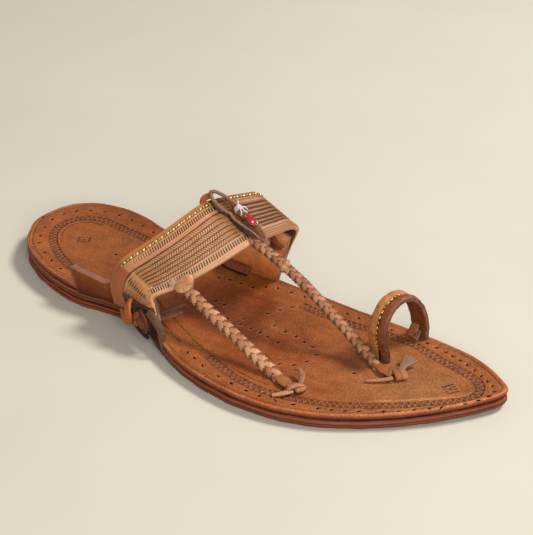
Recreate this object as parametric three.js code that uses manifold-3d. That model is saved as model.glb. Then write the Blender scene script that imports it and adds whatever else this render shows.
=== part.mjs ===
// Kolhapuri sandal, right foot: a hand-made flat leather sandal.
// Layered leather sole (heel lifts, outsole, insole), two side ears caught
// between insole and outsole, a broad instep band laid over the ears, two
// braided thongs, a big-toe loop, a bound loop with a red stone on the band's
// crown, and the thong ties and knots that hold the straps.
//
// Millimetres, +Z up. The shoe's own axes while it is drawn: x runs from the
// back of the heel (0) to the toe tip, y is towards the inner (medial) side,
// z is height above the floor. The last group moves the origin to the middle
// of the base.
import * as THREE from "three";
import { mergeVertices } from "three/addons/utils/BufferGeometryUtils.js";
import Module from "manifold-3d";

const wasm = await Module();
wasm.setup();

// ---------------------------------------------------------------- sizes
const LENGTH = 280; // heel back to toe tip
const HEEL_BACK_Y = -1.5;
const TOE_TIP_Y = -1.5;
const OUTSOLE_T = 4.4;
const INSOLE_T = 3.0;
const GAP = 0.3; // leather to leather
const HEEL_RISE = 4.4; // height of the lifts under the outsole
const HEEL_BREAST_X = 92; // front edge of the lifts
const SHANK_FROM_X = 78; // the outsole leaves the lifts
const SHANK_TO_X = 150; // and reaches the floor
const TOE_SPRING = 2.2;
const SPRING_FROM_X = 226;
const SEAT_CUP = 0.9; // how far the insole's middle dips below its rim
const EDGE_ROUND = 0.7;
const EAR_T = 2.2;
const EAR_PROUD = 0.8; // how far an ear stands outside the insole's rim
const EAR_SWELL = 0.3;
const EAR_SEAT = 0.06; // the ear's foot above the insole's underside
const POCKET_ROOM = 0.45; // round the ear, in the insole
const FLANGE_T = 1.2;
const FLANGE_W = 9;
const BAND_T = 2.4;
const BRAID_W = 7;
const BRAID_T = 3.8;
const LOOP_W = 9.2;
const LOOP_T = 2.4;
const THONG_T = 1.7;
const THONG_W = 4;
const TOP_LOOP_W = 5.6;
const ORIGIN_X = 139.975; // middle of the base, in the drawing axes
const ORIGIN_Y = -19.154;

// Outline of the sole: a row for each section across the foot.
const OUTLINE = [
  { x: 0, medial: HEEL_BACK_Y, lateral: HEEL_BACK_Y },
  { x: 4, medial: 17.6, lateral: -13.4 },
  { x: 12, medial: 26.0, lateral: -25.0 },
  { x: 22, medial: 30.4, lateral: -32.2 },
  { x: 36, medial: 32.1, lateral: -38.9 },
  { x: 50, medial: 30.2, lateral: -42.9 },
  { x: 65, medial: 26.0, lateral: -44.9 },
  { x: 80, medial: 22.6, lateral: -43.2 },
  { x: 95, medial: 20.7, lateral: -42.6 },
  { x: 110, medial: 20.6, lateral: -48.4 },
  { x: 125, medial: 21.8, lateral: -56.4 },
  { x: 140, medial: 22.9, lateral: -63.4 },
  { x: 160, medial: 22.4, lateral: -68.6 },
  { x: 180, medial: 21.5, lateral: -70.6 },
  { x: 200, medial: 20.8, lateral: -68.5 },
  { x: 220, medial: 20.4, lateral: -61.2 },
  { x: 240, medial: 18.7, lateral: -48.4 },
  { x: 255, medial: 15.6, lateral: -35.7 },
  { x: 267, medial: 10.0, lateral: -23.4 },
  { x: 275, medial: 4.4, lateral: -13.0 },
  { x: LENGTH, medial: TOE_TIP_Y, lateral: TOE_TIP_Y },
];

// Ears: foot of the wall along the rim (xb) and its upper edge (xt, yt, zt),
// outer face, from the rear tail to the front.
const EAR_LATERAL = [
  { xb: 65, xt: 57.5, yt: -42.8, zt: 19.8 },
  { xb: 74, xt: 70, yt: -43.6, zt: 19.6 },
  { xb: 82, xt: 81.5, yt: -43.1, zt: 18.6 },
  { xb: 87, xt: 87.5, yt: -42.6, zt: 24 },
  { xb: 93, xt: 92.5, yt: -42.4, zt: 30.5 },
  { xb: 104, xt: 101, yt: -43.8, zt: 29 },
  { xb: 114, xt: 109.5, yt: -45.4, zt: 25 },
  { xb: 121, xt: 114.5, yt: -47.2, zt: 20.5 },
  { xb: 127.5, xt: 118.5, yt: -50.4, zt: 15 },
];
const EAR_MEDIAL = [
  { xb: 92, xt: 84.5, yt: 22.2, zt: 19.8 },
  { xb: 99, xt: 95, yt: 21.6, zt: 19.8 },
  { xb: 106, xt: 106, yt: 21.6, zt: 19.6 },
  { xb: 111, xt: 115, yt: 21.6, zt: 29 },
  { xb: 118, xt: 126, yt: 20.6, zt: 37.5 },
  { xb: 127, xt: 137, yt: 19.4, zt: 40.5 },
  { xb: 134, xt: 145, yt: 18.8, zt: 40 },
  { xb: 139.5, xt: 150.5, yt: 18.6, zt: 38.5 },
];

// Instep band, outer face: rear and front edge at each fold from the lateral
// end, over the crown, to the medial end.
const BAND = [
  { xr: 88.4, yr: -46.2, zr: 10.4, xf: 119.6, yf: -53.4, zf: 19.0 },
  { xr: 87.0, yr: -46.6, zr: 22.2, xf: 117.4, yf: -51.2, zf: 22.6 },
  { xr: 91.8, yr: -44.6, zr: 35.0, xf: 116.2, yf: -48.2, zf: 25.6 },
  { xr: 99.6, yr: -37.8, zr: 42.8, xf: 123.2, yf: -41.4, zf: 29.2 },
  { xr: 106.9, yr: -28.0, zr: 49.3, xf: 131.7, yf: -32.3, zf: 34.9 },
  { xr: 111.9, yr: -18.5, zr: 54.5, xf: 138.8, yf: -21.6, zf: 40.3 },
  { xr: 117.2, yr: -9.2, zr: 59.3, xf: 144.7, yf: -10.8, zf: 45.0 },
  { xr: 123.5, yr: -0.5, zr: 60.9, xf: 148.9, yf: -1.4, zf: 46.6 },
  { xr: 128.4, yr: 8.2, zr: 60.4, xf: 151.6, yf: 8.0, zf: 46.6 },
  { xr: 130.8, yr: 16.8, zr: 57.6, xf: 153.0, yf: 16.4, zf: 45.6 },
  { xr: 129.6, yr: 23.4, zr: 46.6, xf: 152.1, yf: 22.2, zf: 40.6 },
  { xr: 125.0, yr: 25.4, zr: 31.0, xf: 145.6, yf: 25.6, zf: 27.0 },
  { xr: 119.5, yr: 26.4, zr: 16.5, xf: 141.0, yf: 27.2, zf: 15.5 },
];

// Centre lines of the braids and the toe loop.
const CENTRE_BRAID = [
  { x: 142.4, y: -7.4, z: 47.2 },
  { x: 147.5, y: -7.9, z: 46.0 },
  { x: 159.2, y: -9.0, z: 42.2 },
  { x: 175.3, y: -10.5, z: 35.3 },
  { x: 190.3, y: -12.2, z: 26.8 },
  { x: 205.3, y: -13.8, z: 17.6 },
  { x: 216.8, y: -15.4, z: 10.6 },
  { x: 221.2, y: -16.0, z: 6.4 },
];
const SIDE_BRAID = [
  { x: 121.6, y: -37.4, z: 30.6 },
  { x: 127.0, y: -38.0, z: 29.2 },
  { x: 142.7, y: -40.8, z: 23.2 },
  { x: 155.1, y: -43.1, z: 19.3 },
  { x: 167.3, y: -45.5, z: 15.2 },
  { x: 178.7, y: -47.7, z: 11.2 },
  { x: 185.6, y: -49.0, z: 8.8 },
  { x: 188.8, y: -49.6, z: 6.4 },
];
const TOE_LOOP = [
  { x: 218.8, y: -8.8, z: 6.0 },
  { x: 218.6, y: -9.4, z: 12 },
  { x: 218.2, y: -12.0, z: 21 },
  { x: 218.2, y: -10.8, z: 29 },
  { x: 218.6, y: -5.4, z: 34.2 },
  { x: 220.0, y: 2.2, z: 35.8 },
  { x: 221.8, y: 10.0, z: 32.4 },
  { x: 223.6, y: 15.8, z: 23.2 },
  { x: 224.4, y: 18.0, z: 14.4 },
  { x: 224.8, y: 17.2, z: 8.8 },
  { x: 224.8, y: 16.8, z: 6.0 },
];

// ---------------------------------------------------------------- helpers
const V = (x, y, z) => new THREE.Vector3(x, y, z);
const mix = THREE.MathUtils.lerp;
const smooth = (x, a, b) => THREE.MathUtils.smoothstep(x, a, b);

// Smooth value of one column of a table at key value k (Catmull-Rom slopes).
function column(rows, keys, name, k) {
  const n = rows.length;
  let i = 0;
  while (i < n - 2 && keys[i + 1] < k) i++;
  const k0 = keys[i],
    k1 = keys[i + 1],
    p0 = rows[i][name],
    p1 = rows[i + 1][name];
  const slope = (j) => {
    const a = Math.max(j - 1, 0),
      b = Math.min(j + 1, n - 1);
    return (rows[b][name] - rows[a][name]) / (keys[b] - keys[a]);
  };
  const h = k1 - k0,
    t = THREE.MathUtils.clamp((k - k0) / h, 0, 1),
    t2 = t * t,
    t3 = t2 * t;
  return (
    (2 * t3 - 3 * t2 + 1) * p0 +
    (t3 - 2 * t2 + t) * h * slope(i) +
    (-2 * t3 + 3 * t2) * p1 +
    (t3 - t2) * h * slope(i + 1)
  );
}

// The outline is read by the angle of a half turn from heel to toe, so that
// both ends come out round.
const turn = (x) =>
  Math.acos(THREE.MathUtils.clamp(1 - (2 * x) / LENGTH, -1, 1));
const OUTLINE_TURNS = OUTLINE.map((r) => turn(r.x));
const rimY = (x, side) => column(OUTLINE, OUTLINE_TURNS, side, turn(x));
function rimOut(x, side) {
  const d = (rimY(x + 0.5, side) - rimY(x - 0.5, side)) / 1,
    k = Math.hypot(1, d),
    s = side === "medial" ? 1 : -1;
  return V((-s * d) / k, s / k, 0);
}

// Heights of the layers along the foot.
const soleZ = (x) =>
  HEEL_RISE * (1 - smooth(x, SHANK_FROM_X, SHANK_TO_X)) +
  TOE_SPRING * smooth(x, SPRING_FROM_X, LENGTH + 26) * 1.35;
const outsoleTop = (x) => soleZ(x) + OUTSOLE_T;
const insoleBase = (x) => outsoleTop(x) + GAP;
const insoleRim = (x) => insoleBase(x) + INSOLE_T;

// Closed solid through rings of equal point counts, with flat ends.
function loft(rings, closed = false) {
  const n = rings[0].length,
    pos = [],
    idx = [];
  rings.forEach((r) => r.forEach((p) => pos.push(p.x, p.y, p.z)));
  const m = rings.length,
    last = closed ? m : m - 1;
  for (let i = 0; i < last; i++)
    for (let j = 0; j < n; j++) {
      const a = i * n + j,
        b = i * n + ((j + 1) % n),
        c = ((i + 1) % m) * n + j,
        d = ((i + 1) % m) * n + ((j + 1) % n);
      idx.push(a, b, d, a, d, c);
    }
  if (!closed)
    [0, m - 1].forEach((i) => {
      // flat end, triangulated in its own plane
      const ring = rings[i],
        nrm = V(0, 0, 0);
      for (let j = 0; j < n; j++) {
        const p = ring[j],
          q = ring[(j + 1) % n];
        nrm.x += (p.y - q.y) * (p.z + q.z);
        nrm.y += (p.z - q.z) * (p.x + q.x);
        nrm.z += (p.x - q.x) * (p.y + q.y);
      }
      nrm.normalize();
      const u = new THREE.Vector3()
          .subVectors(ring[1], ring[0])
          .projectOnPlane(nrm)
          .normalize(),
        w = new THREE.Vector3().crossVectors(nrm, u),
        flat = ring.map((p) => new THREE.Vector2(p.dot(u), p.dot(w)));
      THREE.ShapeUtils.triangulateShape(flat, []).forEach(([a, b, c]) =>
        i === 0
          ? idx.push(i * n + a, i * n + c, i * n + b)
          : idx.push(i * n + a, i * n + b, i * n + c),
      );
    });
  const g = new THREE.BufferGeometry();
  g.setAttribute("position", new THREE.Float32BufferAttribute(pos, 3));
  g.setIndex(idx);
  return g;
}

// Geometry to solid and back. A solid that comes out inside out is turned.
function solid(geometry) {
  const g = geometry.index ? geometry.toNonIndexed() : geometry.clone();
  ["normal", "uv"].forEach((a) => g.deleteAttribute(a));
  const m = mergeVertices(g, 1e-3),
    tri = new Uint32Array(m.index.array),
    make = () =>
      new wasm.Manifold(
        new wasm.Mesh({
          numProp: 3,
          vertProperties: m.attributes.position.array,
          triVerts: tri,
        }),
      );
  const s = make();
  if (s.volume() > 0) return s;
  for (let i = 0; i < tri.length; i += 3)
    [tri[i + 1], tri[i + 2]] = [tri[i + 2], tri[i + 1]];
  return make();
}
function geometryOf(s) {
  const m = s.getMesh(),
    p = new Float32Array(m.numVert * 3);
  for (let i = 0; i < m.numVert; i++)
    p.set(m.vertProperties.subarray(i * m.numProp, i * m.numProp + 3), i * 3);
  const g = new THREE.BufferGeometry();
  g.setAttribute("position", new THREE.BufferAttribute(p, 3));
  g.setIndex(new THREE.BufferAttribute(new Uint32Array(m.triVerts), 1));
  g.computeVertexNormals();
  return g;
}

// Strap along a centre line: section given as [across, up] pairs.
// `lie` says which way the strap's outer face looks at each step.
function strap(points, steps, lie, section) {
  const curve = new THREE.CatmullRomCurve3(
      points.map((p) => V(p.x, p.y, p.z)),
      false,
      "centripetal",
    ),
    rings = [];
  for (let i = 0; i <= steps; i++) {
    const u = i / steps,
      c = curve.getPointAt(u),
      t = curve.getTangentAt(u),
      up = lie(c, t, u).clone().projectOnPlane(t).normalize(),
      across = new THREE.Vector3().crossVectors(t, up);
    rings.push(
      section(u).map(([a, b]) =>
        c.clone().addScaledVector(across, a).addScaledVector(up, b),
      ),
    );
  }
  return loft(rings);
}
const oval = (w, t, n = 10) =>
  Array.from({ length: n }, (_, i) => {
    const a = (2 * Math.PI * (i + 0.5)) / n;
    return [(w / 2) * Math.cos(a), (t / 2) * Math.sin(a)];
  });
const slab = (w, t, c = 0.5) => [
  [-w / 2 + c, -t / 2],
  [w / 2 - c, -t / 2],
  [w / 2, -t / 2 + c],
  [w / 2, t / 2 - c],
  [w / 2 - c, t / 2],
  [-w / 2 + c, t / 2],
  [-w / 2, t / 2 - c],
  [-w / 2, -t / 2 + c],
];

// ---------------------------------------------------------------- sole
// One layer of the sole between two heights, from x0 to x1.
function soleLayer(base, top, { x0 = 0, x1 = LENGTH, cup = 0, steps = 46 }) {
  const rings = [],
    t0 = x0 > 0 ? turn(x0) : 0.07,
    t1 = x1 < LENGTH ? turn(x1) : Math.PI - 0.075;
  const ACROSS = [0, 0.16, 0.5, 0.84, 1];
  for (let i = 0; i <= steps; i++) {
    const x = (LENGTH / 2) * (1 - Math.cos(mix(t0, t1, i / steps))),
      m = rimY(x, "medial"),
      l = rimY(x, "lateral"),
      b = base(x),
      t = top(x),
      r = Math.min(EDGE_ROUND, (m - l) / 6);
    const dip = (f) => t - cup * Math.pow(4 * f * (1 - f), 0.8);
    rings.push([
      ...ACROSS.map((f) => V(x, mix(m, l, f), b)),
      V(x, l, t - r),
      ...ACROSS.map((f) => V(x, mix(m - r, l + r, 1 - f), dip(f))),
      V(x, m, t - r),
    ]);
  }
  return solid(loft(rings));
}

const liftTop = () => HEEL_RISE - GAP;
const heelLower = soleLayer(
  () => 0,
  () => liftTop() / 2 - GAP / 2,
  { x1: HEEL_BREAST_X, steps: 18 },
);
const heelUpper = soleLayer(
  () => liftTop() / 2 + GAP / 2,
  (x) => Math.min(liftTop(), soleZ(x) - GAP),
  { x1: HEEL_BREAST_X - 1.5, steps: 18 },
);
const outsole = soleLayer(soleZ, outsoleTop, {});
let insole = soleLayer(insoleBase, insoleRim, { cup: SEAT_CUP });

// ---------------------------------------------------------------- ears
// A wall that stands on the outsole's margin round the insole's edge, with a
// flange that goes in between insole and outsole. `room` grows it on every
// face that the insole meets, for the pocket in the insole.
function ear(rows, side, room = 0) {
  const keys = rows.map((_, i) => i),
    steps = 26,
    rings = [];
  for (let i = 0; i <= steps; i++) {
    const k = (i / steps) * (rows.length - 1),
      grow = i === 0 ? -2 * room : i === steps ? 2 * room : 0,
      xb = column(rows, keys, "xb", k) + grow,
      head = V(
        ...["xt", "yt", "zt"].map((c) => column(rows, keys, c, k)),
      ),
      out = rimOut(xb, side),
      rim = V(xb, rimY(xb, side), 0),
      base = insoleBase(xb) + EAR_SEAT,
      foot = rim.clone().addScaledVector(out, EAR_PROUD).setZ(base);
    head.x += grow;
    // the wall swells a little outwards on its way up
    const face = (f, t) =>
      foot
        .clone()
        .lerp(head, f)
        .addScaledVector(out, EAR_SWELL * Math.sin(Math.PI * f) - t);
    const shelfZ = base + FLANGE_T + room,
      shelfF = FLANGE_T / (head.z - base),
      inner = (f) => face(mix(shelfF, 1, f), EAR_T + room),
      tip = face(shelfF, EAR_T + FLANGE_W + room),
      low = base - (room ? 2 : 0);
    rings.push([
      face(0, -room * 20).setZ(low),
      face(0.35, -room * 20),
      face(0.7, -room * 20),
      face(1, -room * 20),
      inner(1),
      inner(0.7),
      inner(0.35),
      inner(0).setZ(shelfZ),
      tip.clone().setZ(shelfZ),
      tip.clone().setZ(low),
    ]);
  }
  return solid(loft(rings));
}
const earLateral = ear(EAR_LATERAL, "lateral");
const earMedial = ear(EAR_MEDIAL, "medial");
insole = insole
  .subtract(ear(EAR_LATERAL, "lateral", POCKET_ROOM))
  .subtract(ear(EAR_MEDIAL, "medial", POCKET_ROOM));

// ---------------------------------------------------------------- upper
// Point of the band's outer face: k runs along the band in rows, f from the
// rear edge (0) to the front edge (1), `down` goes into the leather.
const BAND_KEYS = BAND.map((_, i) => i);
function bandEdge(k, e) {
  return V(
    ...["x", "y", "z"].map((c) => column(BAND, BAND_KEYS, c + e, k)),
  );
}
function bandPoint(k, f, down = 0) {
  const at = (kk, ff) => bandEdge(kk, "r").lerp(bandEdge(kk, "f"), ff),
    kk = THREE.MathUtils.clamp(k, 0.02, BAND.length - 1.02),
    along = at(kk + 0.02, f).sub(at(kk - 0.02, f)),
    across = bandEdge(k, "f").sub(bandEdge(k, "r")),
    n = new THREE.Vector3().crossVectors(across, along).normalize();
  return { p: at(k, f).addScaledVector(n, -down), n };
}
function band() {
  const ACROSS = [0, 0.03, 0.33, 0.66, 0.97, 1],
    steps = 40,
    rings = [];
  for (let i = 0; i <= steps; i++) {
    const k = (i / steps) * (BAND.length - 1);
    rings.push([
      ...ACROSS.map((f) => bandPoint(k, f, f === 0 || f === 1 ? 0.5 : 0).p),
      ...ACROSS.map((f) => bandPoint(k, 1 - f, BAND_T).p),
    ]);
  }
  return solid(loft(rings));
}
const upright = (c, t) => V(0, 0, 1).addScaledVector(V(1, 0, 0), 0.001);
const braid = (points, room = 0) =>
  solid(
    strap(points, 22, upright, () =>
      oval(BRAID_W + 2 * room, BRAID_T + 2 * room),
    ),
  );
const upper = band().add(braid(CENTRE_BRAID)).add(braid(SIDE_BRAID));

// Toe loop: the strap's outer face looks away from the loop's middle.
const LOOP_MIDDLE = V(222.6, 3.6, 16);
const loopSide = (c) =>
  c.clone().sub(LOOP_MIDDLE).setX(0).setZ(Math.max(c.z - LOOP_MIDDLE.z, 0));
const toeLoopOf = (room) =>
  solid(
    strap(TOE_LOOP, 30, loopSide, () =>
      slab(LOOP_W + 2 * room, LOOP_T + 2 * room),
    ),
  );
const toeLoop = toeLoopOf(0);
// slits that the straps go down through
insole = insole
  .subtract(toeLoopOf(GAP))
  .subtract(braid(CENTRE_BRAID, GAP))
  .subtract(braid(SIDE_BRAID, GAP));

// ---------------------------------------------------------------- crown
// The bound loop: a thong that lies on the band's crown from rear to front,
// turns back and stands over itself in two lobes.
const CROWN_K = 6.62; // where it lies along the band
const LOOP_REAR_F = -0.1;
const LOOP_FRONT_F = 0.8;
const LOBE_REAR = 4.2;
const LOBE_FRONT = 2.6;
const WAIST_F = 0.34;
const LIE = THONG_T / 2 + 1.0; // the lower run lies this far off the band
const LOBE_UP = V(0.05, 0.2, 0.98).normalize();
function topLoop() {
  const steps = 40,
    rings = [],
    e = bandPoint(CROWN_K, 0.5),
    across = bandEdge(CROWN_K + 0.3, "r")
      .sub(bandEdge(CROWN_K - 0.3, "r"))
      .normalize(),
    centre = (u) => {
      // u 0..1 along the lower run, 1..2 back along the upper run
      const back = u > 1,
        f = mix(LOOP_REAR_F, LOOP_FRONT_F, back ? 2 - u : u),
        lobe =
          f < WAIST_F
            ? LOBE_REAR *
              Math.sin((Math.PI * (f - LOOP_REAR_F)) / (WAIST_F - LOOP_REAR_F))
            : LOBE_FRONT *
              Math.sin(
                (Math.PI * (f - WAIST_F)) / (LOOP_FRONT_F - WAIST_F),
              );
      return bandEdge(CROWN_K, "r")
        .lerp(bandEdge(CROWN_K, "f"), f)
        .addScaledVector(e.n, LIE + (back ? THONG_T + 0.7 : 0))
        .addScaledVector(LOBE_UP, back ? lobe : 0);
    };
  // the two turns at the ends are rounded by reading the run a little short
  for (let i = 0; i < steps; i++) {
    const u = (2 * i) / steps,
      c = centre(u + 0.0001),
      a = centre(u + 2 / steps - (u + 2 / steps > 2 ? 2 : 0)),
      b = centre(u - 2 / steps + (u - 2 / steps < 0 ? 2 : 0)),
      t = a.sub(b).normalize(),
      up = new THREE.Vector3().crossVectors(across, t).normalize();
    rings.push(
      slab(TOP_LOOP_W, THONG_T, 0.35).map(([w, h]) =>
        c.clone().addScaledVector(across, w).addScaledVector(up, h),
      ),
    );
  }
  return { s: solid(loft(rings, true)), centre, n: e.n, across };
}
const crown = topLoop();

// Oval stone on the front lobe.
const STONE_L = 9.5,
  STONE_W = 5.2,
  STONE_H = 2.6;
function stoneAt() {
  const u = 2 - (0.62 - LOOP_REAR_F) / (LOOP_FRONT_F - LOOP_REAR_F),
    c = crown.centre(u),
    t = crown.centre(u - 0.05).sub(crown.centre(u + 0.05)).normalize(),
    n = crown.n,
    g = new THREE.SphereGeometry(1, 14, 8);
  const m = new THREE.Matrix4().makeBasis(
    t.clone().multiplyScalar(STONE_L / 2),
    new THREE.Vector3().crossVectors(n, t).normalize().multiplyScalar(STONE_W / 2),
    n.clone().multiplyScalar(STONE_H / 2),
  );
  m.setPosition(
    c.clone().addScaledVector(n, THONG_T / 2 + STONE_H / 2 + GAP + 0.2),
  );
  return solid(g.applyMatrix4(m));
}
const stone = stoneAt();

// Round leather disc over the top of the side braid, on the band's front edge.
const DISC_R = 5.2,
  DISC_T = 1.8;
function discAt() {
  const { p, n } = bandPoint(3.32, 1.08),
    g = new THREE.CylinderGeometry(DISC_R, DISC_R - 0.5, DISC_T, 20);
  g.rotateX(Math.PI / 2);
  const q = new THREE.Quaternion().setFromUnitVectors(V(0, 0, 1), n);
  g.applyQuaternion(q);
  const c = p.clone().addScaledVector(n, DISC_T / 2 + 2.6);
  g.translate(c.x, c.y, c.z);
  return solid(g);
}
const disc = discAt();

// ---------------------------------------------------------------- knots
// A thong knot lying on the insole: a bunched turn with two tails.
function knot(x, y, turnZ, tails, r = 4) {
  const z = insoleRim(x) + 0.35,
    ball = new THREE.SphereGeometry(1, 12, 8);
  ball.scale(r * 1.25, r * 0.85, r * 0.62);
  ball.rotateZ(turnZ);
  ball.translate(x, y, z + r * 0.62);
  let s = solid(ball);
  tails.forEach(({ dx, dy, dz, w }) => {
    const pts = [
      { x: x + 0.1 * dx, y: y + 0.1 * dy, z: z + 1.7 },
      { x: x + 0.55 * dx, y: y + 0.55 * dy, z: z + 1.6 + 0.4 * dz },
      { x: x + dx, y: y + dy, z: z + 1.5 + dz },
    ];
    s = s.add(solid(strap(pts, 6, upright, () => slab(w, 1.3, 0.25))));
  });
  return s;
}
const knotCentre = knot(231.0, -17.8, -0.3, [
  { dx: -7.4, dy: -11.4, dz: 0, w: 2.4 },
  { dx: 2.6, dy: 13, dz: 1.5, w: 5 },
]);
const knotSide = knot(199.8, -54.2, 0.2, [
  { dx: -5, dy: -7.4, dz: 0, w: 2.6 },
  { dx: -4.4, dy: 12.6, dz: 1.8, w: 2.6 },
]);

// Ties: the thong that holds band to ear. Outside it is a bunched knot under
// the band's end, inside its tails stand off the ear over the insole.
const TIE_LATERAL = [
  { x: 99.4, y: -51.8, z: 11.4, r: 3.2 },
  { x: 105.0, y: -53.2, z: 13.6, r: 3.4 },
  { x: 111.6, y: -55.2, z: 15.6, r: 3.2 },
];
const TIE_MEDIAL = [
  { x: 122.0, y: 29.6, z: 13.0, r: 3.0 },
  { x: 128.0, y: 30.0, z: 11.6, r: 3.2 },
  { x: 134.0, y: 30.4, z: 12.8, r: 3.0 },
];
function bunch(rows, yaw, flat) {
  return rows
    .map(({ x, y, z, r }) => {
      const g = new THREE.SphereGeometry(1, 10, 7);
      g.scale(r * 1.3, r * flat, r * 1.05);
      g.rotateZ(yaw);
      g.translate(x, y, z);
      return solid(g);
    })
    .reduce((a, b) => a.add(b));
}
const tieLateral = bunch(TIE_LATERAL, -0.25, 0.62);
const tieMedial = bunch(TIE_MEDIAL, 0.06, 0.6);
const tieMedialInner = bunch([{ x: 143.2, y: 14.4, z: 34.6, r: 3.2 }], 0, 0.45);
const tail = (pts, w) =>
  solid(strap(pts, 8, upright, () => slab(w, THONG_T, 0.3)));
const tailLateral = tail(
  [
    { x: 116.6, y: -43.8, z: 14.0 },
    { x: 121.4, y: -43.2, z: 16.4 },
    { x: 128.0, y: -41.8, z: 20.6 },
  ],
  THONG_W,
);
const tailMedial = tail(
  [
    { x: 106.0, y: 15.4, z: 12.0 },
    { x: 116.0, y: 15.8, z: 11.7 },
    { x: 126.6, y: 15.2, z: 12.4 },
  ],
  THONG_W + 0.6,
);

// ---------------------------------------------------------------- assembly
const leather = (name, color, roughness = 0.6) =>
  new THREE.MeshStandardMaterial({ name, color, roughness, metalness: 0 });
const TAN = leather("tan_insole", 0x9c5a30, 0.55);
const DARK = leather("sole_edge", 0x6e3a20, 0.6);
const BAND_TAN = leather("band_tan", 0xa9754c, 0.6);
const THONG = leather("thong", 0x8a5a38, 0.6);
const RED = leather("red_stone", 0xc01018, 0.12);

const sandal = new THREE.Group();
sandal.name = "kolhapuri_sandal";
const drawn = new THREE.Group();
drawn.position.set(-ORIGIN_X, -ORIGIN_Y, 0);
sandal.add(drawn);
[
  ["heel_lift_lower", heelLower, DARK],
  ["heel_lift_upper", heelUpper, DARK],
  ["outsole", outsole, DARK],
  ["insole", insole, TAN],
  ["ear_lateral", earLateral, TAN],
  ["ear_medial", earMedial, TAN],
  ["upper", upper, BAND_TAN],
  ["toe_loop", toeLoop, TAN],
  ["top_loop", crown.s, THONG],
  ["stone", stone, RED],
  ["side_disc", disc, BAND_TAN],
  ["knot_centre", knotCentre, THONG],
  ["knot_side", knotSide, THONG],
  ["tie_lateral", tieLateral, THONG],
  ["tie_medial", tieMedial, THONG],
  ["tie_medial_inner", tieMedialInner, THONG],
  ["tail_lateral", tailLateral, THONG],
  ["tail_medial", tailMedial, THONG],
].forEach(([name, s, material]) => {
  const mesh = new THREE.Mesh(geometryOf(s), material);
  mesh.name = name;
  drawn.add(mesh);
});

export default sandal;
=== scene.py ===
# Kolhapuri sandal, right foot: the looks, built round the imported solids.
# All tables are in the shoe's own axes, in millimetres: x from the back of the
# heel to the toe tip, y towards the inner side, z up from the floor.
import math

import bpy
import numpy as np
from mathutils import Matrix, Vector


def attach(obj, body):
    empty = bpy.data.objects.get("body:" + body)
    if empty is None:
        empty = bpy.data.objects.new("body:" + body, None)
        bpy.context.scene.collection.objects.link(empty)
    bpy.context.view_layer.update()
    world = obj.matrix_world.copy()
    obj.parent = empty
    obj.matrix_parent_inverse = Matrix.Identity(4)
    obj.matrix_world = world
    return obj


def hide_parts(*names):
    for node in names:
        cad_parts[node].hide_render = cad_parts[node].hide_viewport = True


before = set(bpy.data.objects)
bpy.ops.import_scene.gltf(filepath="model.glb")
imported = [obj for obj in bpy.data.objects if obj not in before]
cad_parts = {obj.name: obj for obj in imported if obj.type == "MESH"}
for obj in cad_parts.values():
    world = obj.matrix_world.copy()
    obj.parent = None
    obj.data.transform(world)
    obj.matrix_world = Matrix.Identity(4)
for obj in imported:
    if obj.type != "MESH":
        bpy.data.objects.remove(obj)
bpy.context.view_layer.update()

ORIGIN = np.array([139.975, -19.154, 0.0])
LENGTH = 280.0


# ------------------------------------------------------------------ numbers
def arr(*v):
    return np.array(v, float)


def unit(v):
    v = np.asarray(v, float)
    return v / np.maximum(np.linalg.norm(v, axis=-1, keepdims=True), 1e-9)


def sstep(x, a, b):
    t = np.clip((np.asarray(x, float) - a) / (b - a), 0, 1)
    return t * t * (3 - 2 * t)


def mix(a, b, t):
    return a + (b - a) * t


def hashed(n, seed):
    h = np.sin(np.asarray(n, float) * 127.1 + seed * 311.7) * 43758.5453
    return 2 * (h - np.floor(h)) - 1


def wob(x, seed):
    """Smooth noise of one variable, about -1 to 1."""
    x = np.asarray(x, float)
    i = np.floor(x)
    f = x - i
    f = f * f * (3 - 2 * f)
    return hashed(i, seed) * (1 - f) + hashed(i + 1, seed) * f


def wob2(x, y, seed):
    x, y = np.asarray(x, float), np.asarray(y, float)
    i, j = np.floor(x), np.floor(y)
    f, g = x - i, y - j
    f, g = f * f * (3 - 2 * f), g * g * (3 - 2 * g)
    h = lambda a, b: hashed(a + 57.0 * b, seed)
    return (h(i, j) * (1 - f) + h(i + 1, j) * f) * (1 - g) + (
        h(i, j + 1) * (1 - f) + h(i + 1, j + 1) * f
    ) * g


def hermite(keys, vals, k):
    """Smooth value of a table column at k, with Catmull-Rom slopes."""
    keys, vals, k = (np.asarray(q, float) for q in (keys, vals, k))
    n = len(keys)
    i = np.clip(np.searchsorted(keys, k, side="left") - 1, 0, n - 2)
    a, b = np.maximum(np.arange(n) - 1, 0), np.minimum(np.arange(n) + 1, n - 1)
    s = (vals[b] - vals[a]) / (keys[b] - keys[a])
    h = keys[i + 1] - keys[i]
    t = np.clip((k - keys[i]) / h, 0, 1)
    t2, t3 = t * t, t * t * t
    return (
        (2 * t3 - 3 * t2 + 1) * vals[i]
        + (t3 - 2 * t2 + t) * h * s[i]
        + (3 * t2 - 2 * t3) * vals[i + 1]
        + (t3 - t2) * h * s[i + 1]
    )


def path(points, n):
    """n even points of a smooth line through points, with tangents and lengths."""
    p = np.array(points, float)
    key = np.concatenate([[0], np.cumsum(np.linalg.norm(np.diff(p, axis=0), axis=1) ** 0.75)])
    u = np.linspace(0, key[-1], 40 * len(p))
    fine = np.stack([hermite(key, p[:, c], u) for c in range(3)], -1)
    s = np.concatenate([[0], np.cumsum(np.linalg.norm(np.diff(fine, axis=0), axis=1))])
    q = np.linspace(0, s[-1], n)
    out = np.stack([np.interp(q, s, fine[:, c]) for c in range(3)], -1)
    tan = unit(np.gradient(out, axis=0))
    return out, tan, q


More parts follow.
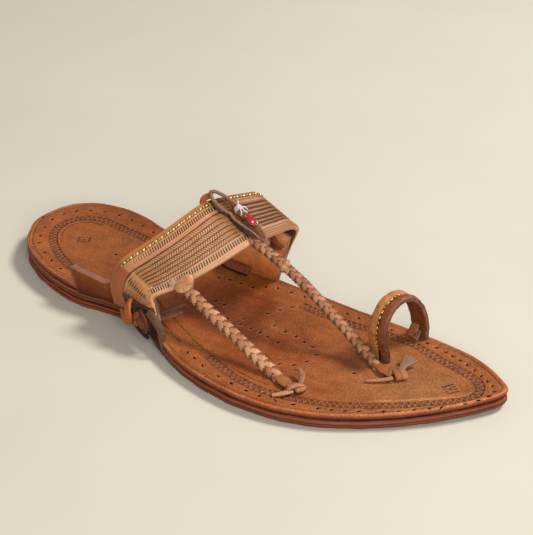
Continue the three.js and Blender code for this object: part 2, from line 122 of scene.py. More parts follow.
# ------------------------------------------------------------------ colours
def rgb(h):
    c = np.array([int(h[i : i + 2], 16) / 255 for i in (1, 3, 5)])
    return np.where(c <= 0.04045, c / 12.92, ((c + 0.055) / 1.055) ** 2.4)


ORANGE = rgb("#b9683a")      # veg-tan grain side
ORANGE_DEEP = rgb("#94481f")
RED_BROWN = rgb("#7c3a20")
DARK = rgb("#2c150c")
BLACK = rgb("#150b07")
PALE = rgb("#d8a682")
PINK = rgb("#cf9a7a")
TAN = rgb("#c58a5c")
GREY = rgb("#8f7464")
OLIVE = rgb("#5d3f22")


# ------------------------------------------------------------------ meshes
def make(name, verts, faces, material, tint, shade_and_marks=None, node=(), extra=None, flat=False):
    verts = np.asarray(verts, float).reshape(-1, 3)
    me = bpy.data.meshes.new(name)
    me.from_pydata(((verts - ORIGIN) / 1000).tolist(), [], [list(map(int, f)) for f in faces])
    n = len(verts)
    tint = np.broadcast_to(np.asarray(tint, float), (n, 3))
    a = me.attributes.new("tint", "FLOAT_COLOR", "POINT")
    a.data.foreach_set("color", np.column_stack([tint, np.ones(n)]).astype(np.float32).ravel())
    # per-vertex darkening, 1 is clean: painted shade in hollows and under and between parts, and dark dots, cracks and
    # slits
    a = me.attributes.new("shade_and_marks", "FLOAT", "POINT")
    a.data.foreach_set("value", np.broadcast_to(1.0 if shade_and_marks is None else shade_and_marks, (n,)).astype(np.float32))
    for k, v in (extra or {}).items():
        a = me.attributes.new(k, "FLOAT", "POINT")
        a.data.foreach_set("value", np.asarray(v, np.float32))
    me.polygons.foreach_set("use_smooth", np.full(len(me.polygons), not flat))
    me.validate()
    me.update()
    o = bpy.data.objects.new(name, me)
    bpy.context.scene.collection.objects.link(o)
    me.materials.append(material)
    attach(o, "root")
    if node:
        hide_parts(*([node] if isinstance(node, str) else node))
    return o


def tube(rings, caps=True, closed=False, start=0):
    """Faces of a skin through rings[n, m, 3]; returns verts, faces."""
    n, m = rings.shape[:2]
    idx = np.arange(n * m).reshape(n, m) + start
    a = idx if closed else idx[:-1]
    b = np.roll(idx, -1, 0) if closed else idx[1:]
    f = np.stack([a, np.roll(a, -1, 1), np.roll(b, -1, 1), b], -1).reshape(-1, 4)
    faces = [tuple(q) for q in f]
    if caps and not closed:
        faces += [tuple(idx[0][::-1]), tuple(idx[-1])]
    return rings.reshape(-1, 3), faces


class Bag:
    """Several skins gathered into one mesh."""

    def __init__(self):
        self.v, self.f, self.t, self.c, self.n = [], [], [], [], 0

    def add(self, rings, tint, shade_and_marks=1.0, closed=False):
        v, f = tube(np.asarray(rings, float), closed=closed, start=self.n)
        m = len(v)
        self.v.append(v)
        self.f += f
        t = np.asarray(tint, float)
        self.t.append(np.broadcast_to(t.reshape(-1, 3) if t.ndim > 1 else t, (m, 3)))
        self.c.append(np.broadcast_to(np.asarray(shade_and_marks, float).ravel() if np.ndim(shade_and_marks) else shade_and_marks, (m,)))
        self.n += m

    def add_mesh(self, v, f, tint, shade_and_marks=1.0):
        v = np.asarray(v, float)
        self.v.append(v)
        self.f += [tuple(int(i) + self.n for i in q) for q in f]
        self.t.append(np.broadcast_to(tint, (len(v), 3)))
        self.c.append(np.broadcast_to(shade_and_marks, (len(v),)))
        self.n += len(v)

    def done(self, name, material, node=(), flat=False):
        return make(name, np.vstack(self.v), self.f, material, np.vstack(self.t),
                    np.concatenate(self.c), node, flat=flat)


def section(w, t, n=16, power=3.2):
    """Rounded flat section: superellipse of width w and thickness t."""
    a = np.linspace(0, 2 * np.pi, n, endpoint=False) + np.pi / n
    c, s = np.cos(a), np.sin(a)
    r = 2 / power
    return np.stack([w / 2 * np.sign(c) * np.abs(c) ** r, t / 2 * np.sign(s) * np.abs(s) ** r], -1)


def ribbon(points, width, thick, up, n=40, m=14, power=3.2, twist=0.0, wobble=0.0, seed=1):
    """Rings of a thong along points. width may be a function of 0..1."""
    c, t, s = path(points, n)
    u = np.linspace(0, 1, n)
    w = np.array([width(q) for q in u]) if callable(width) else np.full(n, width)
    th = np.array([thick(q) for q in u]) if callable(thick) else np.full(n, thick)
    upv = np.broadcast_to(np.asarray(up, float), (n, 3))
    upv = unit(upv - t * np.sum(upv * t, -1, keepdims=True))
    ac = np.cross(t, upv)
    if twist:
        a = twist * (u - 0.5)
        upv, ac = (upv * np.cos(a)[:, None] + ac * np.sin(a)[:, None],
                   ac * np.cos(a)[:, None] - upv * np.sin(a)[:, None])
    base = section(1, 1, m, power)
    rings = (c[:, None] + ac[:, None] * (base[None, :, 0:1] * w[:, None, None])
             + upv[:, None] * (base[None, :, 1:2] * th[:, None, None]))
    if wobble:
        rings = rings + wobble * upv[:, None] * wob2(s[:, None] / 2.2, np.arange(m)[None] * 0.7, seed)[..., None]
    return rings


def pillow(bag, centre, along, up, radii, tint, seed, shade_and_marks=0.97):
    """A pulled-tight turn of thong: a squarish wrinkled lump."""
    e = unit(arr(*along))
    w = unit(arr(*up) - e * np.dot(arr(*up), e))
    g = np.cross(w, e)
    u = np.linspace(-1, 1, 21)
    a = np.linspace(0, 2 * np.pi, 24, endpoint=False)
    r = np.maximum(1 - np.abs(u) ** 2.6, 0.004) ** 0.5
    c, s_ = np.cos(a), np.sin(a)
    sq = (np.abs(c) ** 2.8 + np.abs(s_) ** 2.8) ** (-1 / 2.8)
    wr = 1 + 0.10 * wob2(u[:, None] * 4 + seed, a[None] * 1.4, seed) + 0.06 * np.sin(u[:, None] * 9 + seed)
    k = r[:, None] * sq[None] * wr
    rings = (arr(*centre) + e * (u * radii[0])[:, None, None] + g * (radii[1] * k * c[None])[..., None] + w * (radii[2] * k * s_[None])[..., None])
    # painted shade: darker on the underside and towards the tucked ends
    shade = np.clip(shade_and_marks * (0.30 + 0.70 * sstep(s_, -0.55, 0.30))[None] * (0.30 + 0.70 * sstep(1 - np.abs(u), 0.02, 0.26))[:, None], 0, 1)
    bag.add(rings, tint, shade)


# ------------------------------------------------------------------ materials
class Tree:
    def __init__(self, name):
        self.m = bpy.data.materials.new(name)
        self.m.use_nodes = True
        self.t = self.m.node_tree
        self.t.nodes.clear()
        self.out = self.t.nodes.new("ShaderNodeOutputMaterial")
        self.bsdf = self.t.nodes.new("ShaderNodeBsdfPrincipled")
        self.t.links.new(self.bsdf.outputs[0], self.out.inputs[0])
        self.co = self.t.nodes.new("ShaderNodeTexCoord").outputs["Object"]

    def put(self, socket, v):
        if isinstance(v, bpy.types.NodeSocket):
            self.t.links.new(v, socket)
        elif v is not None:
            socket.default_value = v

    def math(self, op, a, b=None, c=None, clamp=False):
        n = self.t.nodes.new("ShaderNodeMath")
        n.operation, n.use_clamp = op, clamp
        for i, v in enumerate((a, b, c)):
            if v is not None:
                self.put(n.inputs[i], v)
        return n.outputs[0]

    def noise(self, scale, detail=3.0, rough=0.55, co=None, distort=0.0):
        n = self.t.nodes.new("ShaderNodeTexNoise")
        self.put(n.inputs["Vector"], co or self.co)
        n.inputs["Scale"].default_value = scale
        n.inputs["Detail"].default_value = detail
        n.inputs["Roughness"].default_value = rough
        n.inputs["Distortion"].default_value = distort
        return n.outputs["Fac"]

    def cells(self, scale, feature="F1", co=None, out="Distance"):
        n = self.t.nodes.new("ShaderNodeTexVoronoi")
        n.feature = feature
        self.put(n.inputs["Vector"], co or self.co)
        n.inputs["Scale"].default_value = scale
        return n.outputs[out]

    def stretch(self, x, y, z):
        n = self.t.nodes.new("ShaderNodeMapping")
        self.put(n.inputs["Vector"], self.co)
        n.inputs["Scale"].default_value = (x, y, z)
        return n.outputs[0]

    def attr(self, name, what="Fac"):
        n = self.t.nodes.new("ShaderNodeAttribute")
        n.attribute_name = name
        return n.outputs[what]

    def blend(self, fac, a, b, how="MIX"):
        n = self.t.nodes.new("ShaderNodeMix")
        n.data_type, n.blend_type = "RGBA", how
        self.put(n.inputs[0], fac)
        for i, v in ((6, a), (7, b)):
            self.put(n.inputs[i], v if isinstance(v, bpy.types.NodeSocket) else (*v, 1.0))
        return n.outputs[2]

    def scale_colour(self, c, f):
        n = self.t.nodes.new("ShaderNodeVectorMath")
        n.operation = "SCALE"
        self.put(n.inputs[0], c)
        self.put(n.inputs["Scale"], f)
        return n.outputs[0]

    def step(self, v, a, b):
        n = self.t.nodes.new("ShaderNodeMapRange")
        n.interpolation_type = "SMOOTHSTEP"
        self.put(n.inputs[0], v)
        n.inputs[1].default_value, n.inputs[2].default_value = a, b
        return n.outputs[0]

    def bump(self, h, strength, distance, normal=None):
        n = self.t.nodes.new("ShaderNodeBump")
        n.inputs["Strength"].default_value = strength
        n.inputs["Distance"].default_value = distance
        self.put(n.inputs["Height"], h)
        if normal is not None:
            self.put(n.inputs["Normal"], normal)
        return n.outputs[0]


def leather(name, rough=0.48, grain=0.35, mottle=0.30, red=0.35, streak=None, spec=0.4, coat=0.0, pores=0.25):
    """Tanned leather: colour from the mesh's tint, mottled, with grain and pores."""
    t = Tree(name)
    big, mid, fine = t.noise(38, 4), t.noise(210, 4, 0.6), t.noise(1150, 3, 0.6)
    tint = t.attr("tint", "Color")
    shade_and_marks = t.attr("shade_and_marks")
    v = t.math("MULTIPLY_ADD", t.math("SUBTRACT", big, 0.5), mottle * 1.5, 1.0)
    v = t.math("ADD", v, t.math("MULTIPLY", t.math("SUBTRACT", mid, 0.5), mottle))
    v = t.math("ADD", v, t.math("MULTIPLY", t.math("SUBTRACT", fine, 0.5), mottle * 0.9))
    if streak:
        st = t.noise(90, 4, 0.65, t.stretch(*streak))
        v = t.math("ADD", v, t.math("MULTIPLY", t.math("SUBTRACT", st, 0.5), mottle * 1.4))
    col = t.scale_colour(tint, v)
    deep = t.blend(1.0, tint, (0.62, 0.36, 0.24), "MULTIPLY")
    col = t.blend(t.math("MULTIPLY", t.step(t.noise(62, 3, 0.5, distort=0.6), 0.46, 0.74), red), col, deep)
    pits = t.step(t.cells(950), 0.06, 0.30)
    col = t.blend(t.math("MULTIPLY", t.math("SUBTRACT", 1.0, pits), pores), col, (0.045, 0.02, 0.011))
    # darkened towards near black by the mesh's attribute: painted shade, and dark marks
    col = t.blend(t.math("SUBTRACT", 1.0, shade_and_marks, clamp=True), col, (0.016, 0.008, 0.005))
    t.put(t.bsdf.inputs["Base Color"], col)
    t.put(t.bsdf.inputs["Roughness"], t.math("MULTIPLY_ADD", t.math("SUBTRACT", mid, 0.5), 0.34, rough, clamp=True))
    t.bsdf.inputs["Specular IOR Level"].default_value = spec
    if coat:
        t.bsdf.inputs["Coat Weight"].default_value = coat
        t.bsdf.inputs["Coat Roughness"].default_value = 0.35
    h = t.math("ADD", t.math("MULTIPLY", t.cells(820, "SMOOTH_F1"), 0.55), t.math("MULTIPLY", fine, 0.7))
    h = t.math("ADD", h, t.math("MULTIPLY", t.noise(3600, 2), 0.25))
    t.put(t.bsdf.inputs["Normal"], t.bump(h, grain, 0.00045))
    return t.m


def edge_leather(name, rough=0.55):
    """Cut and burnished edges: thin layers run round the sole."""
    t = Tree(name)
    tint, shade_and_marks = t.attr("tint", "Color"), t.attr("shade_and_marks")
    lay = t.noise(260, 3, 0.6, t.stretch(0.22, 0.22, 5.0))
    fib = t.noise(700, 3, 0.65, t.stretch(0.35, 0.35, 3.0))
    big = t.noise(45, 4)
    v = t.math("MULTIPLY_ADD", t.math("SUBTRACT", lay, 0.5), 1.05, 1.0)
    v = t.math("ADD", v, t.math("MULTIPLY", t.math("SUBTRACT", fib, 0.5), 0.5))
    v = t.math("ADD", v, t.math("MULTIPLY", t.math("SUBTRACT", big, 0.5), 0.6))
    col = t.scale_colour(tint, v)
    # darkened towards near black by the mesh's attribute: painted shade, and dark marks
    col = t.blend(t.math("SUBTRACT", 1.0, shade_and_marks, clamp=True), col, (0.012, 0.006, 0.004))
    t.put(t.bsdf.inputs["Base Color"], col)
    t.put(t.bsdf.inputs["Roughness"], t.math("MULTIPLY_ADD", t.math("SUBTRACT", fib, 0.5), 0.4, rough, clamp=True))
    t.bsdf.inputs["Specular IOR Level"].default_value = 0.35
    t.put(t.bsdf.inputs["Normal"], t.bump(t.math("ADD", lay, t.math("MULTIPLY", fib, 0.6)), 0.55, 0.0006))
    return t.m


def insole_leather(name):
    """Grain side of the insole with its stamped border, lines, darker patches and painted shade."""
    t = Tree(name)
    tint, shade_and_marks = t.attr("tint", "Color"), t.attr("shade_and_marks")
    big, mid, fine = t.noise(24, 5, 0.6), t.noise(140, 5, 0.66), t.noise(820, 4, 0.7)
    streak = t.noise(70, 5, 0.65, t.stretch(0.35, 2.6, 1.0))
    pebble = t.step(t.cells(560, "DISTANCE_TO_EDGE"), 0.0, 0.30)
    v = t.math("MULTIPLY_ADD", t.math("SUBTRACT", big, 0.5), 0.75, 1.0)
    for n, k, m in ((mid, 0.70, 0.5), (fine, 0.72, 0.5), (streak, 0.75, 0.5), (pebble, 0.22, 0.7)):
        v = t.math("ADD", v, t.math("MULTIPLY", t.math("SUBTRACT", n, m), k))
    col = t.scale_colour(tint, t.math("MAXIMUM", v, 0.25))
    deep = t.blend(1.0, tint, (0.60, 0.40, 0.28), "MULTIPLY")
    col = t.blend(t.math("MULTIPLY", t.step(t.noise(48, 4, 0.6, distort=0.8), 0.47, 0.72), 0.66), col, deep)
    # stamped border: a zigzag left standing between two rows of pressed teeth
    bd, bs = t.attr("bd"), t.attr("bs")
    wander = t.math("MULTIPLY", t.math("SUBTRACT", t.noise(300, 2), 0.5), 0.8)
    bdw = t.math("ADD", bd, wander)
    ph = t.math("FRACT", t.math("DIVIDE", bs, 2.9))
    tri = t.math("MULTIPLY", t.math("SUBTRACT", t.math("MULTIPLY", t.math("ABSOLUTE", t.math("SUBTRACT", ph, 0.5)), 2.0), 0.5), 3.3)
    gap = t.math("SUBTRACT", bdw, tri)
    ridge = t.step(t.math("ABSOLUTE", gap), 0.62, 1.15)
    inside = t.math("SUBTRACT", 1.0, t.step(t.math("ABSOLUTE", bdw), 1.95, 2.5))
    teeth = t.math("MULTIPLY", ridge, inside)
    press = t.math("MULTIPLY_ADD", t.step(t.noise(380, 2), 0.30, 0.62), 0.4, 0.6)
    teeth = t.math("MULTIPLY", teeth, press)
    teeth = t.math("MULTIPLY", teeth, t.attr("border"))
    # grooved lines beside the border and along the rim
    line = t.math("SUBTRACT", 1.0, t.step(t.attr("line"), 0.16, 0.55))
    line = t.math("MULTIPLY", line, t.math("MULTIPLY_ADD", t.step(mid, 0.36, 0.62), 0.85, 0.15))
    dark = t.math("MAXIMUM", t.math("MULTIPLY", teeth, 0.80), t.math("MULTIPLY", line, 0.45))
    col = t.blend(dark, col, (0.082, 0.027, 0.018))
    crest = t.math("MULTIPLY", t.math("SUBTRACT", 1.0, ridge), inside)
    col = t.blend(t.math("MULTIPLY", t.math("MULTIPLY", crest, t.attr("border")), 0.22), col, (0.42, 0.17, 0.08))
    pits = t.step(t.cells(700), 0.05, 0.28)
    col = t.blend(t.math("MULTIPLY", t.math("SUBTRACT", 1.0, pits), 0.26), col, (0.05, 0.02, 0.010))
    # darkened towards near black by the mesh's attribute: painted shade, and dark marks
    col = t.blend(t.math("SUBTRACT", 1.0, shade_and_marks, clamp=True), col, (0.02, 0.009, 0.006))
    t.put(t.bsdf.inputs["Base Color"], col)
    r = t.math("MULTIPLY_ADD", t.math("SUBTRACT", mid, 0.5), 0.36, 0.50)
    r = t.math("ADD", r, t.math("MULTIPLY", teeth, 0.18), clamp=True)
    t.put(t.bsdf.inputs["Roughness"], r)
    t.bsdf.inputs["Specular IOR Level"].default_value = 0.28
    h = t.math("ADD", t.math("MULTIPLY", pebble, 0.8), t.math("MULTIPLY", fine, 1.1))
    h = t.math("ADD", h, t.math("MULTIPLY", streak, 0.6))
    n1 = t.bump(h, 0.30, 0.0006)
    t.put(t.bsdf.inputs["Normal"], t.bump(t.math("SUBTRACT", 1.0, t.math("MAXIMUM", teeth, t.math("MULTIPLY", line, 0.8))), 0.9, 0.0010, n1))
    return t.m


def plain(name, colour, rough, metal=0.0, spec=0.5, coat=0.0, vary=0.25, scale=900, bump=0.2):
    t = Tree(name)
    n = t.noise(scale, 3)
    t.put(t.bsdf.inputs["Base Color"], t.scale_colour(t.attr("tint", "Color"), t.math("MULTIPLY_ADD", t.math("SUBTRACT", n, 0.5), vary * 2, 1.0)))
    t.put(t.bsdf.inputs["Roughness"], t.math("MULTIPLY_ADD", t.math("SUBTRACT", n, 0.5), 0.25, rough, clamp=True))
    t.bsdf.inputs["Metallic"].default_value = metal
    t.bsdf.inputs["Specular IOR Level"].default_value = spec
    if coat:
        t.bsdf.inputs["Coat Weight"].default_value = coat
        t.bsdf.inputs["Coat Roughness"].default_value = 0.08
    t.put(t.bsdf.inputs["Normal"], t.bump(n, bump, 0.0002))
    return t.m


M_INSOLE = insole_leather("insole_grain")
M_EDGE = edge_leather("sole_edge")
M_EAR = leather("ear_leather", rough=0.62, spec=0.18, grain=0.4, mottle=0.42, red=0.5, streak=(1.2, 1.2, 0.3))
M_BAND = leather("band_leather", rough=0.46, grain=0.28, mottle=0.34, red=0.22, pores=0.15)
M_THONG = leather("thong_leather", rough=0.54, spec=0.26, grain=0.45, mottle=0.62, red=0.35, pores=0.34)
M_BRAID = leather("braid_leather", rough=0.50, spec=0.32, grain=0.3, mottle=0.42, red=0.25, pores=0.2)
M_GOLD = plain("gold_thread", None, 0.28, metal=0.7, vary=0.4, scale=2600, bump=0.4)
M_WHITE = plain("white_thread", None, 0.75, vary=0.15, scale=4000, bump=0.5)
M_STONE = plain("red_stone", None, 0.06, spec=0.7, coat=1.0, vary=0.5, scale=420, bump=0.0)
M_SLIT = plain("slit_dark", None, 0.9, spec=0.1)


# ------------------------------------------------------------------ the sole
OUTLINE = [  # x, medial, lateral
    (0, -1.5, -1.5), (4, 17.6, -13.4), (12, 26.0, -25.0), (22, 30.4, -32.2), (36, 32.1, -38.9),
    (50, 30.2, -42.9), (65, 26.0, -44.9), (80, 22.6, -43.2), (95, 20.7, -42.6), (110, 20.6, -48.4),
    (125, 21.8, -56.4), (140, 22.9, -63.4), (160, 22.4, -68.6), (180, 21.5, -70.6), (200, 20.8, -68.5),
    (220, 20.4, -61.2), (240, 18.7, -48.4), (255, 15.6, -35.7), (267, 10.0, -23.4), (275, 4.4, -13.0),
    (280, -1.5, -1.5),
]
O_X = np.array([r[0] for r in OUTLINE], float)
turn = lambda x: np.arccos(np.clip(1 - 2 * np.asarray(x, float) / LENGTH, -1, 1))
O_T = turn(O_X)
rim_y = lambda x, side: hermite(O_T, [r[1 if side > 0 else 2] for r in OUTLINE], turn(x))


def rim_out(x, side):
    d = rim_y(np.asarray(x) + 0.5, side) - rim_y(np.asarray(x) - 0.5, side)
    k = np.hypot(1, d)
    return np.stack([-side * d / k, side / k, 0 * k], -1)


sole_z = lambda x: 4.4 * (1 - sstep(x, 78, 150)) + 2.97 * sstep(x, 226, 306)
outsole_top = lambda x: sole_z(x) + 4.4
insole_base = lambda x: outsole_top(x) + 0.3
insole_rim = lambda x: insole_base(x) + 3.0


def ring_of(th0, th1, n):
    th = np.linspace(th0, th1, n + 1)
    x = 140 * (1 - np.cos(th))
    lat = np.stack([x, rim_y(x, -1)], -1)
    med = np.stack([x, rim_y(x, 1)], -1)
    loop = np.vstack([lat, med[::-1]])
    tan = np.roll(loop, -1, 0) - np.roll(loop, 1, 0)
    tan = unit(tan)
    nrm = np.stack([tan[:, 1], -tan[:, 0]], -1)
    return loop, nrm


def sole_piece(th0, th1, n, profile, top_fn, k_top, k_bottom, seed=1, wave=0.0):
    """Skin of one layer: rings round the edge (offset, height function), then the two faces.
    Returns verts, faces and how each vertex came about: ring number or -1 top, -2 bottom."""
    loop, nrm = ring_of(th0, th1, n)
    L = len(loop)
    arc = np.concatenate([[0], np.cumsum(np.linalg.norm(np.diff(loop, axis=0), axis=1))])
    verts, kind = [], []
    for i, (off, zf) in enumerate(profile):
        w = wave * (wob(arc / 9.0, seed) + 0.6 * wob(arc / 3.7, seed + 5))
        p = loop + nrm * (off + w)[:, None]
        verts.append(np.column_stack([p, zf(p[:, 0]) + 0 * p[:, 0]]))
        kind.append(np.full(L, i))
    m = len(profile)
    idx = np.arange(m * L).reshape(m, L)
    a, b = idx[:-1], idx[1:]
    f = np.stack([a, np.roll(a, -1, 1), np.roll(b, -1, 1), b], -1).reshape(-1, 4)
    faces = [tuple(q) for q in f]
    total = m * L
    for which, ring, k in ((-1, 0, k_top), (-2, m - 1, k_bottom)):
        base = verts[ring]
        lat, med = base[: n + 1], base[n + 1 :][::-1]
        g = np.linspace(0, 1, k + 1)[None, 1:-1, None]
        inner = lat[:, None] * (1 - g) + med[:, None] * g
        if which == -1:
            inner[..., 2] = top_fn(inner[..., 0], inner[..., 1], np.broadcast_to(g[..., 0], inner.shape[:2]))
        ids = np.empty((n + 1, k + 1), int)
        ids[:, 0] = idx[ring][: n + 1]
        ids[:, -1] = idx[ring][n + 1 :][::-1]
        ids[:, 1:-1] = total + np.arange((n + 1) * (k - 1)).reshape(n + 1, k - 1)
        total += (n + 1) * (k - 1)
        verts.append(inner.reshape(-1, 3))
        kind.append(np.full((n + 1) * (k - 1), which))
        q = np.stack([ids[:-1, :-1], ids[:-1, 1:], ids[1:, 1:], ids[1:, :-1]], -1).reshape(-1, 4)
        if which == -1:
            q = q[:, ::-1]
        faces += [tuple(r) for r in q]
    return np.vstack(verts), faces, np.concatenate(kind)


def nearest(points, line):
    """Distance to a polyline's points and the index of the nearest."""
    d = np.empty(len(points))
    i = np.empty(len(points), int)
    for a in range(0, len(points), 4000):
        q = ((points[a : a + 4000, None] - line[None]) ** 2).sum(-1)
        i[a : a + 4000] = q.argmin(1)
        d[a : a + 4000] = np.sqrt(q.min(1))
    return d, i


def flat_line(points, step=0.4):
    p = np.array([(x, y, 0) for x, y in points], float)
    total = np.linalg.norm(np.diff(p, axis=0), axis=1).sum()
    c, t, s = path(p, int(total / step) + 2)
    return c[:, :2], t[:, :2], s


# lines tooled in the insole, in the shoe's sizes
BORDER_FRONT = [
    (149.5, -51.2), (156, -54.6), (163, -57.0), (171, -59.2), (181, -60.6), (192, -60.0), (203, -57.4), (213, -54.2),
    (222, -50.0), (230, -45.4), (238, -40.2), (245, -35.2), (252, -29.6), (259, -24.0), (264.4, -19.4),
    (268.2, -14.6), (269.4, -10.2), (268.2, -5.6), (265.0, -1.8), (260.4, 0.6), (254, 2.6), (246, 4.6),
    (238, 6.8), (231, 9.0), (224, 10.6), (215, 10.8), (205, 9.8), (195, 8.9), (185, 8.4), (176, 8.2), (168.5, 8.9), (162.0, 10.0),
]
BORDER_HEEL = [
    (72, -35.4), (60, -34.4), (49.2, -31.9), (42.6, -29.4), (35.6, -25.9), (28.6, -21.4), (22.2, -16.0), (17.0, -9.8),
    (14.4, -3.4), (14.2, 2.2), (16.2, 7.8), (20.0, 12.2), (25.6, 14.8), (32.6, 15.8), (41, 15.2), (50, 14.2), (58, 13.0),
    (66, 11.7), (80, 10.0),
]
LINES = [
    [(102.4, -29.6), (107, -32.4), (112.0, -34.8)],
    [(112.5, -41.8), (116.6, -43.9), (124.9, -47.5), (132.6, -50.6)],
    [(115, -35.2), (119.1, -37.5), (128.2, -41.6), (136.4, -45.4), (143.7, -48.1), (150.6, -50.0), (158, -52.2), (166, -54.0), (176, -55.6), (186, -55.4)],
    [(25.6, -13.8), (20.6, -7.2), (18.6, -1.1), (19.4, 4.8), (25.0, 10.2), (33.0, 11.6)],
]
SLITS_RIM = [  # where the stitch holes are, along the rim
    (141.0, -55.6), (146.2, -57.3), (153.0, -60.2), (163.9, -62.9), (172.3, -64.3), (180.8, -64.9), (188.0, -64.8),
    (196.0, -63.8), (204.2, -61.9), (214.9, -58.2), (220.6, -55.7), (226.0, -53.2), (231.4, -50.1), (240.4, -44.2),
    (246.0, -40.5), (251.4, -36.4), (256.8, -32.0), (261.0, -28.6), (268.6, -20.8), (272.6, -15.6), (275.0, -10.4),
    (275.4, -5.8), (272.8, -2.0), (269.1, 0.6), (264.6, 3.2), (260.0, 5.8), (254.9, 8.2), (250.4, 9.9), (245.9, 11.4),
    (241.4, 12.8), (236.1, 13.9), (230.5, 14.7), (210.6, 15.0), (203.0, 15.2), (192.4, 15.2), (185.6, 15.4), (176.6, 15.8),
    (167.6, 16.2), (160.0, 16.6), (151.9, 16.6), (144.6, 15.6),
    (45.2, -36.2), (35.8, -32.7), (27.3, -28.4), (17.8, -22.0), (13.2, -16.0), (9.2, -8.0), (7.0, 0.3), (8.4, 8.4),
    (11.6, 14.9), (17.4, 20.1), (24.9, 23.0), (34.0, 24.6), (43.5, 24.1), (52.1, 22.6), (61.3, 20.0), (70.5, 17.8), (80, 16.2),
    (54.6, -37.9), (90, 14.8), (138.5, 13.6),
]
SLITS_SEAM = [  # holes across the ball, where the band's ties were laced, and a few single ones
    (125.6, -12.2), (130.7, -11.9), (132.6, -19.8), (138.3, -20.2), (142.6, -22.8), (146.2, -20.3), (144.6, -15.0),
    (153.1, -20.8), (159.2, -22.0), (163.9, -22.5), (153.2, -6.3), (156.3, -0.3), (159.4, 5.7), (161.3, -13.1), (168.2, -13.8),
    (174.9, -14.5), (180.5, -15.9), (186.1, -17.2), (170.4, -23.2), (191.1, -21.9), (190.3, -29.4), (187.0, -35.1),
    (181.0, -38.2), (214.2, -25.4), (133.3, 9.6), (126.8, 8.3), (120.7, 7.2), (115.1, 5.4), (58.8, -8.3),
]


